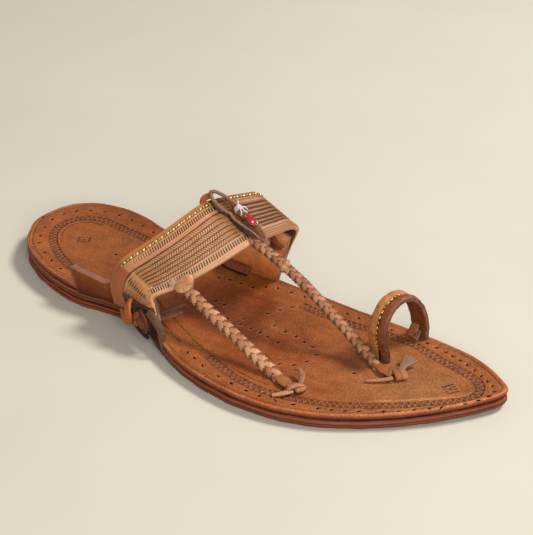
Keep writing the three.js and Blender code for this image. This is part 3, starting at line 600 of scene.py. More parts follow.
def insole():
    n, k = 560, 150
    z = lambda d: (lambda x: insole_rim(x) + d)
    prof = [
        (np.float64(-1.5), z(0.0)), (np.float64(-0.9), z(0.02)), (np.float64(-0.35), z(-0.12)), (np.float64(0.0), z(-0.45)),
        (np.float64(0.1), z(-1.0)), (np.float64(0.02), z(-1.7)), (np.float64(-0.12), z(-2.3)), (np.float64(-0.5), z(-2.75)),
        (np.float64(-1.4), z(-3.0)),
    ]
    prof = [(np.full(2 * (n + 1), o), f) for o, f in prof]

    def top(x, y, g):
        dip = 0.95 * (4 * g * (1 - g)) ** 0.8 * sstep(np.minimum(x, LENGTH - x), 0, 18)
        # the foot's seat: pressed at heel and ball, with soft rolls between
        zz = insole_rim(x) - dip
        zz = zz - 0.55 * np.exp(-(((x - 42) / 26) ** 2) - (((y + 6) / 18) ** 2))
        zz = zz - 0.50 * np.exp(-(((x - 178) / 30) ** 2) - (((y + 30) / 20) ** 2))
        zz = zz + 0.95 * np.exp(-(((x - 152 + 0.35 * y) / 6.5) ** 2)) * np.exp(-(((y + 10) / 24) ** 2))
        zz = zz - 0.85 * np.exp(-(((x - 138 + 0.35 * y) / 7.5) ** 2)) * np.exp(-(((y + 10) / 22) ** 2))
        zz = zz + 0.22 * wob2(x / 21, y / 16, 3) + 0.10 * wob2(x / 8, y / 7, 4)
        return zz

    v, f, kind = sole_piece(0.035, np.pi - 0.035, n, prof, top, k, 4, seed=2, wave=0.10)
    xy = v[:, :2]
    topside = (kind == -1) | (kind == 0) | (kind == 1)
    loop, _ = ring_of(0.035, np.pi - 0.035, 500)
    rd, _ = nearest(xy, loop)
    # signed distance and run along the two stamped borders
    bd = np.full(len(v), 50.0)
    bs = np.zeros(len(v))
    run0 = 0
    for pts in (BORDER_FRONT, BORDER_HEEL):
        c, t, s = flat_line(pts)
        d, i = nearest(xy, c)
        side = t[i, 0] * (xy[:, 1] - c[i, 1]) - t[i, 1] * (xy[:, 0] - c[i, 0])
        ok = d < np.abs(bd)
        ok &= (i > 0) & (i < len(c) - 1)
        bd = np.where(ok, d * np.sign(side), bd)
        bs = np.where(ok, s[i] + run0, bs)
        run0 += 1000
    line = np.full(len(v), 9.0)
    for pts in LINES:
        c, _, _ = flat_line(pts)
        line = np.minimum(line, nearest(xy, c)[0])
    line = np.minimum(line, np.abs(rd - 2.6) + 0.16)
    line = np.minimum(line, np.where(np.abs(bd) < 9, np.abs(np.abs(bd) - 3.4) + 0.40, 9.0))
    # pressed geometry: border, lines and stitch holes
    dz = np.zeros(len(v))
    ph = np.mod(bs / 2.9, 1.0)
    tri = (np.abs(ph - 0.5) * 2 - 0.5) * 3.3
    teeth = sstep(np.abs(bd - tri), 0.4, 1.0) * (1 - sstep(np.abs(bd), 2.2, 3.0))
    dz -= 0.32 * teeth
    dz -= 0.22 * (1 - sstep(line, 0.2, 0.9))
    shade_and_marks = np.ones(len(v))
    hole_lip_highlight = np.zeros(len(v))
    for px, py in SLITS_RIM + SLITS_SEAM:
        near = np.where((np.abs(xy[:, 0] - px) < 5) & (np.abs(xy[:, 1] - py) < 5))[0]
        q2 = ((xy[near] - (px, py)) ** 2).sum(1)
        seam = (px, py) in SLITS_SEAM
        dz[near] -= 0.45 * np.exp(-q2 / 1.1)
        side = ((xy[near] - (px, py)) @ arr(0.6, -0.8)) / np.sqrt(q2 + 0.05)
        # a pale lip on one side of each hole only: a painted highlight
        hole_lip_highlight[near] = np.maximum(hole_lip_highlight[near], (0.9 if seam else 0.30) * np.clip(side, 0, 1) * np.exp(-((np.sqrt(q2) - 1.3) ** 2) / 0.35))
        dz[near] += 0.10 * np.exp(-((np.sqrt(q2) - 1.9) ** 2) / 0.7)
    # painted shade round the slots where straps go through
    for (px, py), r in (((218.8, -9.2), 6.5), ((224.8, 17.0), 6.0), ((219.5, -15.8), 4.2), ((187.4, -49.4), 4.2)):
        q = np.hypot(xy[:, 0] - px, xy[:, 1] - py)
        shade_and_marks = np.minimum(shade_and_marks, mix(0.55, 1, sstep(q, 1.5, r)))
    # the raised line just inside the near toe border
    raised = np.exp(-(((bd - 3.5) / 0.5) ** 2)) * sstep(bs, 84, 96) * (1 - sstep(bs, 122, 132))
    dz += 0.35 * raised
    v[:, 2] += np.where(topside, dz, 0)
    # two small stamped motifs, each a square of four dotted corners
    for (px, py), a in (((34.6, -5.6), 0.5), ((257, -12.8), -0.6)):
        rel = xy - (px, py)
        u = rel @ arr(np.cos(a), np.sin(a))
        w = rel @ arr(-np.sin(a), np.cos(a))
        box = np.maximum(np.abs(u) / 4.2, np.abs(w) / 2.9)
        dots = np.abs(np.mod(u, 1.9) - 0.95) < 0.55
        mark = (box < 1) & ((box > 0.55) & dots | (np.hypot(u, w * 1.3) < 1.0))
        line = np.where(mark & topside, 0.1, line)
        v[:, 2] -= np.where(mark & topside, 0.2, 0)
        shade_and_marks = np.where(mark & topside, 0.38, shade_and_marks)
    # colours: rim lighter with a painted highlight, cut edge red-brown and darker downward with painted shade, lower
    # face dark with painted shade
    tone = np.repeat((ORANGE * arr(0.66, 0.67, 0.51))[None], len(v), 0)
    x, y = xy.T
    # painted shade on the ball and waist under the band and braids, and a painted sheen on the toe; the heel seat
    # slightly darker
    seat = np.exp(-(((x - 44) / 30) ** 2) - (((y + 5) / 20) ** 2))
    ball = np.exp(-(((x - 136) / 20) ** 2) - (((y + 12) / 24) ** 2))
    waist = np.exp(-(((x - 166) / 26) ** 2) - (((y + 24) / 22) ** 2))
    toe = np.exp(-(((x - 238) / 26) ** 2) - (((y + 20) / 22) ** 2))
    shade = 1 - 0.05 * seat - 0.44 * ball - 0.24 * waist + 0.06 * toe
    shade = shade * (1 + 0.10 * wob2(x / 17, y / 13, 6) + 0.07 * wob2(x / 6, y / 5, 7))
    tone = tone * shade[:, None]
    tone = tone * (1 + toe[:, None] * arr(0.04, 0.44, 1.05) - ball[:, None] * arr(0.0, 0.18, 0.28) - waist[:, None] * arr(0.0, 0.10, 0.14))
    # painted light on the insole under the band
    lit_under_band = np.exp(-(((x - 114) / 16) ** 2) - (((y + 26) / 18) ** 2))
    tone = tone * (1 + lit_under_band[:, None] * arr(0.55, 0.30, 0.10))
    # painted highlight along the rounded rim
    rim_highlight = np.exp(-((rd - 1.0) ** 2) / 1.6) * topside
    tone = mix(tone, np.repeat((rgb("#cf8a5e"))[None], len(v), 0), (0.58 * rim_highlight * (0.6 + 0.4 * wob(bs / 17 + x / 11, 8)))[:, None])
    # pale tint on the holes' lit lips and on the raised line: painted highlight
    tone = mix(tone, np.repeat((rgb("#c98d66"))[None], len(v), 0), (np.clip(0.5 * hole_lip_highlight + 0.6 * raised, 0, 1) * topside)[:, None])
    # the cut edge's rings darken downward where they tuck under the rim, and the lower face is dark: painted shade
    for i, c, w in ((2, "#b4683a", 1), (3, "#a3532a", 1), (4, "#874020", 1), (5, "#6e321a", 1), (6, "#582612", 0.9), (7, "#34150a", 0.75), (8, "#2a110a", 0.6)):
        tone[kind == i] = rgb(c)
        shade_and_marks[kind == i] = w
    shade_and_marks[kind == -2] = 0.4
    border = np.where(topside, 1.0, 0.0)
    line = np.where(topside, line, 9.0)
    make("insole_top", v, f, M_INSOLE, tone, shade_and_marks, "insole",
         {"bd": bd, "bs": bs, "line": line, "border": border})

    # the holes themselves: dark lips along the rim and across the ball
    bag = Bag()
    for j, (px, py) in enumerate(SLITS_RIM + SLITS_SEAM):
        d, i = nearest(arr([px, py]).reshape(1, 2), xy[topside])
        z0 = v[topside][i[0], 2]
        if j < len(SLITS_RIM):
            dd, ii = nearest(arr([px, py]).reshape(1, 2), loop)
            a = loop[(ii[0] + 1) % len(loop)] - loop[ii[0] - 1]
            ang = math.atan2(a[1], a[0]) + 0.9 * hashed(j, 4)
        else:
            ang = 0.6 + 0.9 * hashed(j, 5)
        half = 1.25 + 0.35 * hashed(j, 6)
        wid = 0.46 + 0.14 * hashed(j, 7)
        e = arr(math.cos(ang), math.sin(ang), 0)
        g = arr(-math.sin(ang), math.cos(ang), 0)
        u = np.linspace(-1, 1, 9)
        rings = []
        for q in u:
            w = wid * max(1 - q * q, 0.02) ** 0.7
            s = section(2 * w, 0.3, 8, 2)
            rings.append(arr(px, py, z0 + 0.22) + e * (q * half) + g * s[:, 0:1] + arr(0, 0, 1) * s[:, 1:2])
        bag.add(np.array(rings), rgb("#24100a"))
    bag.done("insole_stitch_holes", M_SLIT, "insole")


def sole_layers():
    n = 420
    L = 2 * (n + 1)
    full = lambda o: np.full(L, float(o))
    zf = lambda a: (lambda x: sole_z(x) + a)
    prof = [(full(-2.6), zf(4.4)), (full(-1.5), zf(4.36)), (full(-0.9), zf(4.1)), (full(-0.45), zf(3.7)), (full(-0.15), zf(3.2)),
            (full(-0.02), zf(2.6)), (full(-0.35), zf(2.25)), (full(-0.3), zf(2.1)), (full(0.0), zf(1.75)), (full(-0.05), zf(1.1)),
            (full(-0.3), zf(0.45)), (full(-0.8), zf(0.08)), (full(-2.0), zf(0.0))]
    v, f, kind = sole_piece(0.04, np.pi - 0.04, n, prof, lambda x, y, g: outsole_top(x), 6, 10, seed=11, wave=0.22)
    # ring colours, top to bottom: rings under the insole's overhang and by the floor darker, as painted shade; rings
    # 6-7 the dark line between two layers, with painted shade in its groove
    ramp = {0: ("#2a120a", .5), 1: ("#38180d", .6), 2: ("#5c2a17", .8), 3: ("#7c3b20", 1), 4: ("#8a4526", 1), 5: ("#80401f", 1), 6: ("#4a2111", .75),
            7: ("#44200f", .75), 8: ("#73351b", 1), 9: ("#6b3019", 1), 10: ("#54260f", .9), 11: ("#3b1a0d", .8), 12: ("#3a1c10", .7)}
    tone = np.repeat(rgb("#4b2a18")[None], len(v), 0)
    shade_and_marks = np.full(len(v), 0.75)
    for i, (c, w) in ramp.items():
        tone[kind == i], shade_and_marks[kind == i] = rgb(c) * 1.08, w
    make("outsole_edge", v, f, M_EDGE, tone, shade_and_marks, "outsole")
    # heel lifts
    for name, z0, z1, xe, out, seed in (("heel_lift_lower", 0.0, 1.95, 92.0, -0.15, 21), ("heel_lift_upper", 2.2, 4.05, 90.5, -0.05, 31)):
        n2 = 200
        full2 = lambda o: np.full(2 * (n2 + 1), float(o))
        cap = (lambda x: np.minimum(z1, sole_z(x) - 0.3)) if z1 > 3 else (lambda x: z1 + 0 * x)
        lay = lambda a: (lambda x: mix(z0, cap(x), a))
        prof = [(full2(-1.6), lay(1.0)), (full2(out - 0.6), lay(0.98)), (full2(out - 0.1), lay(0.8)), (full2(out), lay(0.5)),
                (full2(out - 0.1), lay(0.22)), (full2(out - 0.5), lay(0.03)), (full2(-1.6), lay(0.0))]
        v, f, kind = sole_piece(0.05, float(turn(xe)), n2, prof, lambda x, y, g: cap(x), 4, 4, seed=seed, wave=0.26)
        tone = np.repeat(rgb("#3d1f12")[None], len(v), 0)
        shade_and_marks = np.full(len(v), 0.7)
        # top and bottom rings darker: painted shade under the layer above and by the floor
        for i, (c, w) in {0: ("#2a120a", .5), 1: ("#4a2010", .75), 2: ("#84401f", 1), 3: ("#8f4725", 1), 4: ("#7a3a1e", 1), 5: ("#48200f", .8), 6: ("#30160c", .7)}.items():
            tone[kind == i], shade_and_marks[kind == i] = rgb(c), w
        make(name + "_edge", v, f, M_EDGE, tone, shade_and_marks, name)


# ------------------------------------------------------------------ the ears
EAR_LATERAL = [  # foot along the rim, then the upper edge
    (65, 57.5, -42.8, 19.8), (74, 70, -43.6, 19.6), (82, 81.5, -43.1, 18.6), (87, 87.5, -42.6, 24), (93, 92.5, -42.4, 30.5),
    (104, 101, -43.8, 29), (114, 109.5, -45.4, 25), (121, 114.5, -47.2, 20.5), (127.5, 118.5, -50.4, 15),
]
EAR_MEDIAL = [
    (92, 84.5, 22.2, 19.8), (99, 95, 21.6, 19.8), (106, 106, 21.6, 19.6), (111, 115, 21.6, 29), (118, 126, 20.6, 37.5),
    (127, 137, 19.4, 40.5), (134, 145, 18.8, 40), (139.5, 150.5, 18.6, 38.5),
]


def ear(name, rows, side, seed):
    steps, nf = 150, 30
    keys = np.arange(len(rows))
    k = np.linspace(0, len(rows) - 1, steps + 1)
    xb, xt, yt, zt = (hermite(keys, [r[c] for r in rows], k) for c in range(4))
    out = rim_out(xb, side)
    base = insole_base(xb) + 0.06
    foot = np.stack([xb, rim_y(xb, side), 0 * xb], -1) + out * 0.8
    foot[:, 2] = base
    head = np.stack([xt, yt, zt], -1)

    def face(f, t):
        p = foot * (1 - f) + head * f
        thick = 2.0 * (1 - sstep(k, 2.1, 2.7)) * float(sstep(f, 0.4, 0.98)) * (t > 1.0) * (side < 0)
        return p + out * (0.3 * np.sin(np.pi * f) - t - thick)[:, None]

    sec = []
    for f in np.linspace(-0.03, 0.965, nf):
        sec.append((f, 0.12 * (f > 0.9), "o"))
    sec += [(0.992, 0.35, "e"), (1.0, 0.8, "e"), (1.0, 1.3, "e"), (0.994, 1.85, "e")]
    for f in np.linspace(0.965, 0.0, nf):
        sec.append((f, 2.2 - 0.1 * (f > 0.9), "i"))
    rings = np.stack([face(f, t) for f, t, _ in sec], 1)
    s = np.linspace(0, 1, steps + 1)[:, None]
    fcol = np.array([q[0] for q in sec])[None]
    lump = 0.28 * wob2(s * len(rows) * 1.6, fcol * 4 + 0 * s, seed) + 0.12 * wob2(s * 40, fcol * 11, seed + 1)
    rings = rings + out[:, None] * lump[..., None]
    kinds = np.array([q[2] for q in sec])
    tone = np.empty(rings.shape)
    fo = np.clip(fcol, 0, 1)[..., None]
    # outer and inner faces darker towards the foot, in colour and darkening both: painted shade
    tone[:] = np.where((kinds == "o")[None, :, None], mix(rgb("#5a2709"), rgb("#874315"), fo), 0)
    if side < 0:
        # the lateral ear's front part darker still: painted shade under the band's end and the ties
        tone *= mix(1.0, 0.6, sstep(k, 5.0, 6.4))[:, None, None]
    if side > 0:
        tone[:] = np.where((kinds == "o")[None, :, None], mix(rgb("#5c3018"), rgb("#9a5b33"), fo), tone)
    # the medial ear's inner face lighter than the lateral's: painted light
    tone[:] = np.where((kinds == "i")[None, :, None], mix(rgb("#c8733a"), rgb("#eba46c"), sstep(fo, 0.05, 0.8)) * (1.1 if side > 0 else 0.74), tone)
    tone[:] = np.where((kinds == "e")[None, :, None], GREY, tone)
    shade_and_marks = np.where((kinds == "o")[None], 0.55 + 0.45 * sstep(fcol, 0.0, 0.3), np.where((kinds == "i")[None], 0.62 + 0.38 * sstep(fcol, 0.0, 0.22), 1.0)) + 0 * s
    # the cut ends and the tail's broad top are grey
    if side < 0:
        tailtop = (1 - sstep(k, 2.2, 2.7))[:, None] * np.where((kinds == "i")[None], sstep(fcol, 0.55, 0.9), 0)
        tone = mix(tone, rgb("#835c44"), tailtop[..., None] * 0.9)
        tail_edge = (1 - sstep(k, 2.2, 2.7))[:, None] * (kinds == "e")[None]
        tone = mix(tone, rgb("#8a6048"), tail_edge[..., None] * 0.9)
    ends = np.maximum(1 - sstep(k, 0.0, 0.12), sstep(k, len(rows) - 1.16, len(rows) - 1))[:, None, None]
    tone = mix(tone, GREY * 0.9, ends * 0.8)
    v, f = tube(rings)
    make(name + "_wall", v, f, M_EAR, tone.reshape(-1, 3), shade_and_marks.ravel(), name)


# ------------------------------------------------------------------ the band
BAND = [  # rear edge, front edge
    (88.4, -46.2, 10.4, 119.6, -53.4, 19.0), (87.0, -46.6, 22.2, 117.4, -51.2, 22.6), (91.8, -44.6, 35.0, 116.2, -48.2, 25.6),
    (99.6, -37.8, 42.8, 123.2, -41.4, 29.2), (106.9, -28.0, 49.3, 131.7, -32.3, 34.9), (111.9, -18.5, 54.5, 138.8, -21.6, 40.3),
    (117.2, -9.2, 59.3, 144.7, -10.8, 45.0), (123.5, -0.5, 60.9, 148.9, -1.4, 46.6), (128.4, 8.2, 60.4, 151.6, 8.0, 46.6),
    (130.8, 16.8, 57.6, 153.0, 16.4, 45.6), (129.6, 23.4, 46.6, 152.1, 22.2, 40.6), (125.0, 25.4, 31.0, 145.6, 25.6, 27.0),
    (119.5, 26.4, 16.5, 141.0, 27.2, 15.5),
]
B_K = np.arange(len(BAND))
_band = np.array(BAND, float)


def band_edge(k, e):
    return np.stack([hermite(B_K, _band[:, e + c], k) for c in range(3)], -1)


def band_at(k, f):
    f = np.asarray(f, float)[..., None]
    return band_edge(k, 0) * (1 - f) + band_edge(k, 3) * f


def band_normal(k, f):
    kk = np.clip(k, 0.02, len(BAND) - 1.02)
    al = band_at(kk + 0.02, f) - band_at(kk - 0.02, f)
    ac = band_edge(k, 3) - band_edge(k, 0)
    return unit(np.cross(ac, al))


_kk = np.linspace(0, 12, 1201)
_ss = np.concatenate([[0], np.cumsum(np.linalg.norm(np.diff(band_at(_kk, 0 * _kk + 0.5), axis=0), axis=1))])
band_k_of = lambda s: np.interp(s, _ss, _kk)
band_s_of = lambda k: np.interp(k, _kk, _ss)
BAND_LEN = float(_ss[-1])

# rows of the band from rear to front, near end and crown
ROW_K = (2.3, 5.0)
GROOVES = [(0.335, 0.29), (0.425, 0.385), (0.51, 0.47), (0.585, 0.555), (0.655, 0.635), (0.735, 0.715), (0.81, 0.785)]
LADDER_1 = (0.20, 0.175)
LADDER_2 = (0.885, 0.865)
GOLD_F = (0.105, 0.08)
row_f = lambda pair, k: mix(pair[0], pair[1], np.clip((np.asarray(k, float) - ROW_K[0]) / (ROW_K[1] - ROW_K[0]), 0, 1.3))
LOOP_K = 6.62


def overlay_end(f):
    """Where the overlay's near end is, in rows."""
    return mix(1.10, 0.66, np.clip((f - 0.36) / 0.64, 0, 1))


def band():
    s = np.concatenate([np.arange(0, 6, 0.3), np.arange(6, 104, 0.2), np.arange(104, BAND_LEN, 0.55), [BAND_LEN]])
    k = band_k_of(s)
    nf = 140
    f = np.linspace(0, 1, nf)
    K, F = np.meshgrid(k, f, indexing="ij")
    S = np.repeat(s[:, None], nf, 1)
    wid = np.linalg.norm(band_edge(k, 3) - band_edge(k, 0), axis=1)[:, None]
    D = F * wid  # millimetres from the rear edge
    h = np.zeros_like(K)
    tone = np.repeat(np.repeat(TAN[None, None], len(k), 0), nf, 1) * 0.96
    shade_and_marks = np.ones_like(K)
    g = [row_f(p, K) for p in GROOVES]
    far = sstep(K, LOOP_K - 0.1, LOOP_K + 0.15)
    near_end = 1 - sstep(K, 1.9, 2.25)
    # how far each point is from a line across the band, in millimetres
    off = lambda fr: np.abs(F - fr) * wid
    # base leather at the rear, then the strips
    base = (1 - sstep(F, row_f(GOLD_F, K) - 0.045, row_f(GOLD_F, K) - 0.025))
    h += 0.55 * (1 - base)
    tone = mix(tone, rgb("#c27a49"), base[..., None])
    strip1 = sstep(F, row_f(GOLD_F, K) + 0.025, row_f(GOLD_F, K) + 0.04) * (1 - sstep(F, g[0] - 0.012, g[0]))
    h += 0.30 * strip1
    tone = mix(tone, rgb("#c98f69"), (0.9 * strip1)[..., None])
    # the trough that the gold thread lies in, darkened with painted shade
    gold = np.exp(-(off(row_f(GOLD_F, K)) / 0.55) ** 2)
    h -= 0.45 * gold * (1 - near_end)
    shade_and_marks -= 0.45 * gold * (1 - near_end) * (1 - base)
    # panel of plaited rows
    panel = sstep(F, g[0] - 0.004, g[0] + 0.008) * (1 - sstep(F, g[-1] - 0.008, g[-1] + 0.006))
    tone = mix(tone, rgb("#b27b50"), panel[..., None] * (1 - 0.35 * far)[..., None])
    tone = mix(tone, rgb("#a9774a"), (panel * far)[..., None])
    plait_on = sstep(K, 2.55, 3.1) * (1 - sstep(K, 5.45, 6.0))
    for i in range(len(g) - 1):
        mid = (g[i] + g[i + 1]) / 2
        half = (g[i + 1] - g[i]) / 2 * wid
        inrow = 1 - sstep(np.abs(F - mid) * wid, half * 0.72, half)
        across = (F - mid) * wid
        h += 0.34 * np.sqrt(np.clip(1 - (across / half) ** 2, 0, 1)) * (np.abs(across) < half) * (0.9 - 0.2 * far)
        lean = 1 if i % 2 else -1
        ph = S / 1.32 + lean * across / (1.9 * half) + 0.5 * i
        cell = np.floor(ph)
        fr = ph - cell
        bead = np.sin(np.pi * fr) ** 0.8
        rnd = 0.5 + 0.5 * hashed(cell, 3 + i)
        wgt = inrow * plait_on
        h += 0.34 * wgt * (bead - 0.6)
        # painted shade in the gaps between beads
        shade_and_marks -= 0.50 * wgt * (1 - sstep(bead, 0.15, 0.62))
        # painted highlight on each bead's crest
        bead_highlight = wgt * sstep(bead, 0.62, 0.95) * (0.35 + 0.65 * rnd)
        tone = mix(tone, rgb("#dcb894"), (0.60 * bead_highlight)[..., None])
    # dark grooves; the first is the long one beside the strip
    start = [2.0, 2.16, 2.2, 2.2, 2.2, 2.22, 2.3]
    stop = [6.25, 6.05, 6.0, 6.02, 6.04, 6.08, 6.1]
    for i, gi in enumerate(g):
        live = sstep(K, start[i], start[i] + 0.08) * (1 - sstep(K, stop[i], stop[i] + 0.06)) * (1 - far)
        live = np.maximum(live, far * sstep(K, LOOP_K + 0.35 + 0.05 * i, LOOP_K + 0.5 + 0.05 * i) * (1 - sstep(K, 9.5 + 0.04 * i, 9.7 + 0.04 * i)))
        w = 0.30 if i == 0 else 0.24
        w = w * (1 + 0.35 * far) * (1 + 0.25 * wob(S / 5.0, 40 + i))
        live = live * (1 - (0.22 if i > 1 else 0.1) * plait_on)
        cut = np.exp(-(off(gi + 0.0025 * wob(S / 14, 50 + i)) / w) ** 2) * live
        h -= (0.75 if i == 0 else 0.6) * cut
        shade_and_marks -= (1.0 if i in (0, 2, 3, 4) else 0.85) * cut
    # pale ladder strips with slits
    for pair, length, first, last, dark in ((LADDER_1, 1.45, 2.35, 6.2, 0.85), (LADDER_2, 1.55, 1.95, 6.35, 0.85)):
        c = row_f(pair, K)
        on = sstep(K, first, first + 0.1) * (1 - sstep(K, last, last + 0.08))
        on = on * (0.45 + 0.55 * sstep(K, first + 0.3, first + 1.3)) if pair is LADDER_1 else on
        lean = (F - c) * wid * 0.32
        ph = np.mod((S + lean) / 1.32, 1.0)
        slit = np.exp(-((ph - 0.5) * 1.32 / 0.34) ** 2) * (1 - sstep(off(c), length * 0.78, length)) * on
        h -= 0.7 * slit
        shade_and_marks -= dark * slit
        edge = np.exp(-((off(c) - length * 1.15) / 0.28) ** 2) * on
        h += 0.14 * edge
        band_ = (1 - sstep(off(c), length * 1.15, length * 1.4)) * on
        tone = mix(tone, rgb("#dcae8c") if pair is LADDER_2 else rgb("#d29c77"), (0.85 * band_)[..., None])
    frontpart = sstep(F, g[-1], g[-1] + 0.02) * (K > 1.2)
    tone = mix(tone, rgb("#d9ab88"), (0.75 * frontpart * (1 - 0.3 * near_end))[..., None])
    h += 0.10 * frontpart
    rim = np.exp(-((1 - F) * wid / 0.9) ** 2)
    h -= 0.35 * rim ** 3
    # beyond the crown loop the strips are plain folds, darkened with painted shade in each fold line
    for fr, w in ((0.16, 0.22), (0.235, 0.22), (0.86, 0.25), (0.91, 0.25), (0.955, 0.2)):
        cut = np.exp(-(off(fr) / w) ** 2) * far * (1 - sstep(K, 9.6, 9.8))
        h -= 0.35 * cut
        shade_and_marks -= 0.5 * cut
    pale_far = far * (np.exp(-((F - 0.87) / 0.055) ** 2) + 0.6 * np.exp(-((F - 0.2) / 0.06) ** 2))
    tone = mix(tone, rgb("#d8b392"), np.clip(0.8 * pale_far, 0, 1)[..., None])
    # near end: bare base at the rear, folded overlay in front with a row of dots
    bare = (1 - sstep(K, 1.9, 2.06)) * (1 - sstep(F, 0.30 + 0.05 * (K > 1.5), 0.36))
    h -= 0.75 * bare
    tone = mix(tone, rgb("#b2632f"), bare[..., None])
    lip = sstep(F, 0.335, 0.36) * (1 - sstep(K, 1.95, 2.2))
    border_k = sstep(K, 1.25, 1.4) * (1 - sstep(K, 2.12, 2.24)) * sstep(F, 0.34, 0.37)
    tone = mix(tone, rgb("#c8915f"), (0.9 * border_k)[..., None])
    h += 0.35 * border_k
    seam = np.exp(-((K - 2.2) / 0.035) ** 2) * sstep(F, 0.36, 0.4)
    shade_and_marks -= 0.35 * seam
    dots_k = mix(1.72, 1.44, np.clip((F - 0.42) / 0.42, 0, 1))
    ph = np.mod(F * wid / 1.5, 1.0)
    dot = np.exp(-((K - dots_k) / 0.17) ** 2 - ((ph - 0.5) * 1.5 / 0.46) ** 2) * sstep(F, 0.40, 0.42) * (1 - sstep(F, 0.86, 0.88))
    h -= 0.8 * dot
    shade_and_marks -= 1.0 * dot
    ke = overlay_end(F)
    gone = (1 - sstep(K, ke - 0.05, ke + 0.02)) * sstep(F, 0.33, 0.37)
    cutend = np.exp(-((K - ke - 0.08) / 0.07) ** 2) * sstep(F, 0.35, 0.38)
    tone = mix(tone, rgb("#8d6a53"), (0.9 * cutend)[..., None])
    h += 0.9 * cutend + 0.25 * lip * (1 - gone)
    h -= 1.5 * gone
    # the bared part where the overlay is cut away: dark brown, painted shade under the overlay's end
    tone = mix(tone, rgb("#4a2813"), (0.92 * gone)[..., None])
    shade_and_marks -= 0.75 * gone * sstep(K, ke - 0.45, ke)
    # painted shadow line along the overlay's rear edge at the near end
    overlay_edge_shadow = np.exp(-((F - 0.345) * wid / 0.65) ** 2) * (1 - sstep(K, 2.0, 2.1)) * sstep(K, 0.2, 0.5)
    shade_and_marks -= 0.9 * overlay_edge_shadow
    h -= 0.5 * overlay_edge_shadow
    # medial side and hidden run: plain
    tone = mix(tone, rgb("#a76a41"), sstep(K, 9.75, 10.1)[..., None])
    # the crown loop's shadow line and painted shade under the loop; painted shade on the far half, and the near end a
    # little darker
    run = S - band_s_of(LOOP_K)
    shade_and_marks -= 0.95 * np.exp(-(((run + loop_half(F) + 0.9) / 0.8) ** 2))
    shade_and_marks -= 0.55 * np.exp(-((run / 2.4) ** 2)) * (F < 0.9)
    tone = tone * mix(mix(0.82, 0.90, sstep(K, 1.9, 2.4)), 0.52, far)[..., None] * (1 - mix(arr(0.0, 0.04, 0.10), arr(0.0, 0.22, 0.42), far[..., None]))
    # soft waviness of hand work
    h += 0.16 * wob2(S / 9, F * 5, 60) + 0.05 * wob2(S / 2.3, F * 14, 61)
    shade_and_marks = np.clip(shade_and_marks, 0.03, 1)
    nrm = band_normal(K, F)
    P = band_at(K, F) + nrm * h[..., None]
    # underside and edges close the skin
    back_f = np.linspace(1, 0, 14)
    KB, FB = np.meshgrid(k, back_f, indexing="ij")
    under = band_at(KB, FB) - band_normal(KB, FB) * 2.1
    bulge = lambda e, d: band_at(k, 0 * k + e) - band_normal(k, 0 * k + e) * d + unit(band_edge(k, 3) - band_edge(k, 0)) * (0.25 if e else -0.25)
    front = np.stack([bulge(1.0, 0.55), bulge(1.0, 1.5)], 1)
    rear = np.stack([bulge(0.0, 1.5), bulge(0.0, 0.55)], 1)
    rings = np.concatenate([P, front, under, rear], 1)
    n = len(k)
    tone = np.concatenate([tone, np.broadcast_to(rgb("#c9986f"), (n, 2, 3)), np.broadcast_to(rgb("#7a4522"), (n, 14, 3)), np.broadcast_to(rgb("#a8683c"), (n, 2, 3))], 1)
    shade_and_marks = np.concatenate([shade_and_marks, np.full((n, 2), 0.9), np.full((n, 14), 0.85), np.full((n, 2), 0.9)], 1)
    v, f_ = tube(rings[:, ::-1])
    make("instep_band", v, f_, M_BAND, tone[:, ::-1].reshape(-1, 3), shade_and_marks[:, ::-1].ravel(), "upper")


def gold_line():
    """Twisted gold thread couched along the band's rear strip."""
    bag = Bag()
    for s0, s1 in ((band_s_of(2.02), band_s_of(6.28)), (band_s_of(7.0), band_s_of(9.6))):
        step = 1.75
        for j, s in enumerate(np.arange(s0, s1, step)):
            kk = band_k_of(np.array([s - 0.1, s + 0.1]))
            f = row_f(GOLD_F, kk)
            p = band_at(kk, f)
            nrm = band_normal(kk, f)[0]
            t = unit(p[1] - p[0])
            g = np.cross(nrm, t)
            c = p.mean(0) + nrm * 0.62
            d = unit(t * 0.94 + g * 0.34)
            e = np.cross(nrm, d)
            r = 0.80 + 0.14 * hashed(j, 12)
            u = np.linspace(-1, 1, 7)
            rings = [c + d * (q * r) + (e * sc[:, 0:1] + nrm * sc[:, 1:2]) * math.sqrt(max(1 - q * q, 0.03))
                     for q in u for sc in [section(1.22, 0.9, 8, 2)]]
            bag.add(np.array(rings), rgb("#efe3a6") if j % 2 else rgb("#c2a14e"))
            # the couching stitch between two turns
            m = c + t * step / 2 - nrm * 0.12
            rings = [m + g * q * 0.75 + (t * sc[:, 0:1] + nrm * sc[:, 1:2]) * math.sqrt(max(1 - q * q, 0.05))
                     for q in np.linspace(-1, 1, 5) for sc in [section(0.42, 0.5, 6, 2)]]
            bag.add(np.array(rings), rgb("#6d4e1c"))
    bag.done("gold_thread_band", M_GOLD, "upper")


# ------------------------------------------------------------------ braids
CENTRE_BRAID = [(142.4, -7.4, 47.2), (147.5, -7.9, 46.0), (159.2, -9.0, 42.2), (175.3, -10.5, 35.3), (190.3, -12.2, 26.8),
                (205.3, -13.8, 17.6), (216.8, -15.4, 10.6), (221.2, -16.0, 6.4)]
SIDE_BRAID = [(121.6, -37.4, 30.6), (127.0, -38.0, 29.2), (142.7, -40.8, 23.2), (155.1, -43.1, 19.3), (167.3, -45.5, 15.2),
              (178.7, -47.7, 11.2), (185.6, -49.0, 8.8), (188.8, -49.6, 6.4)]


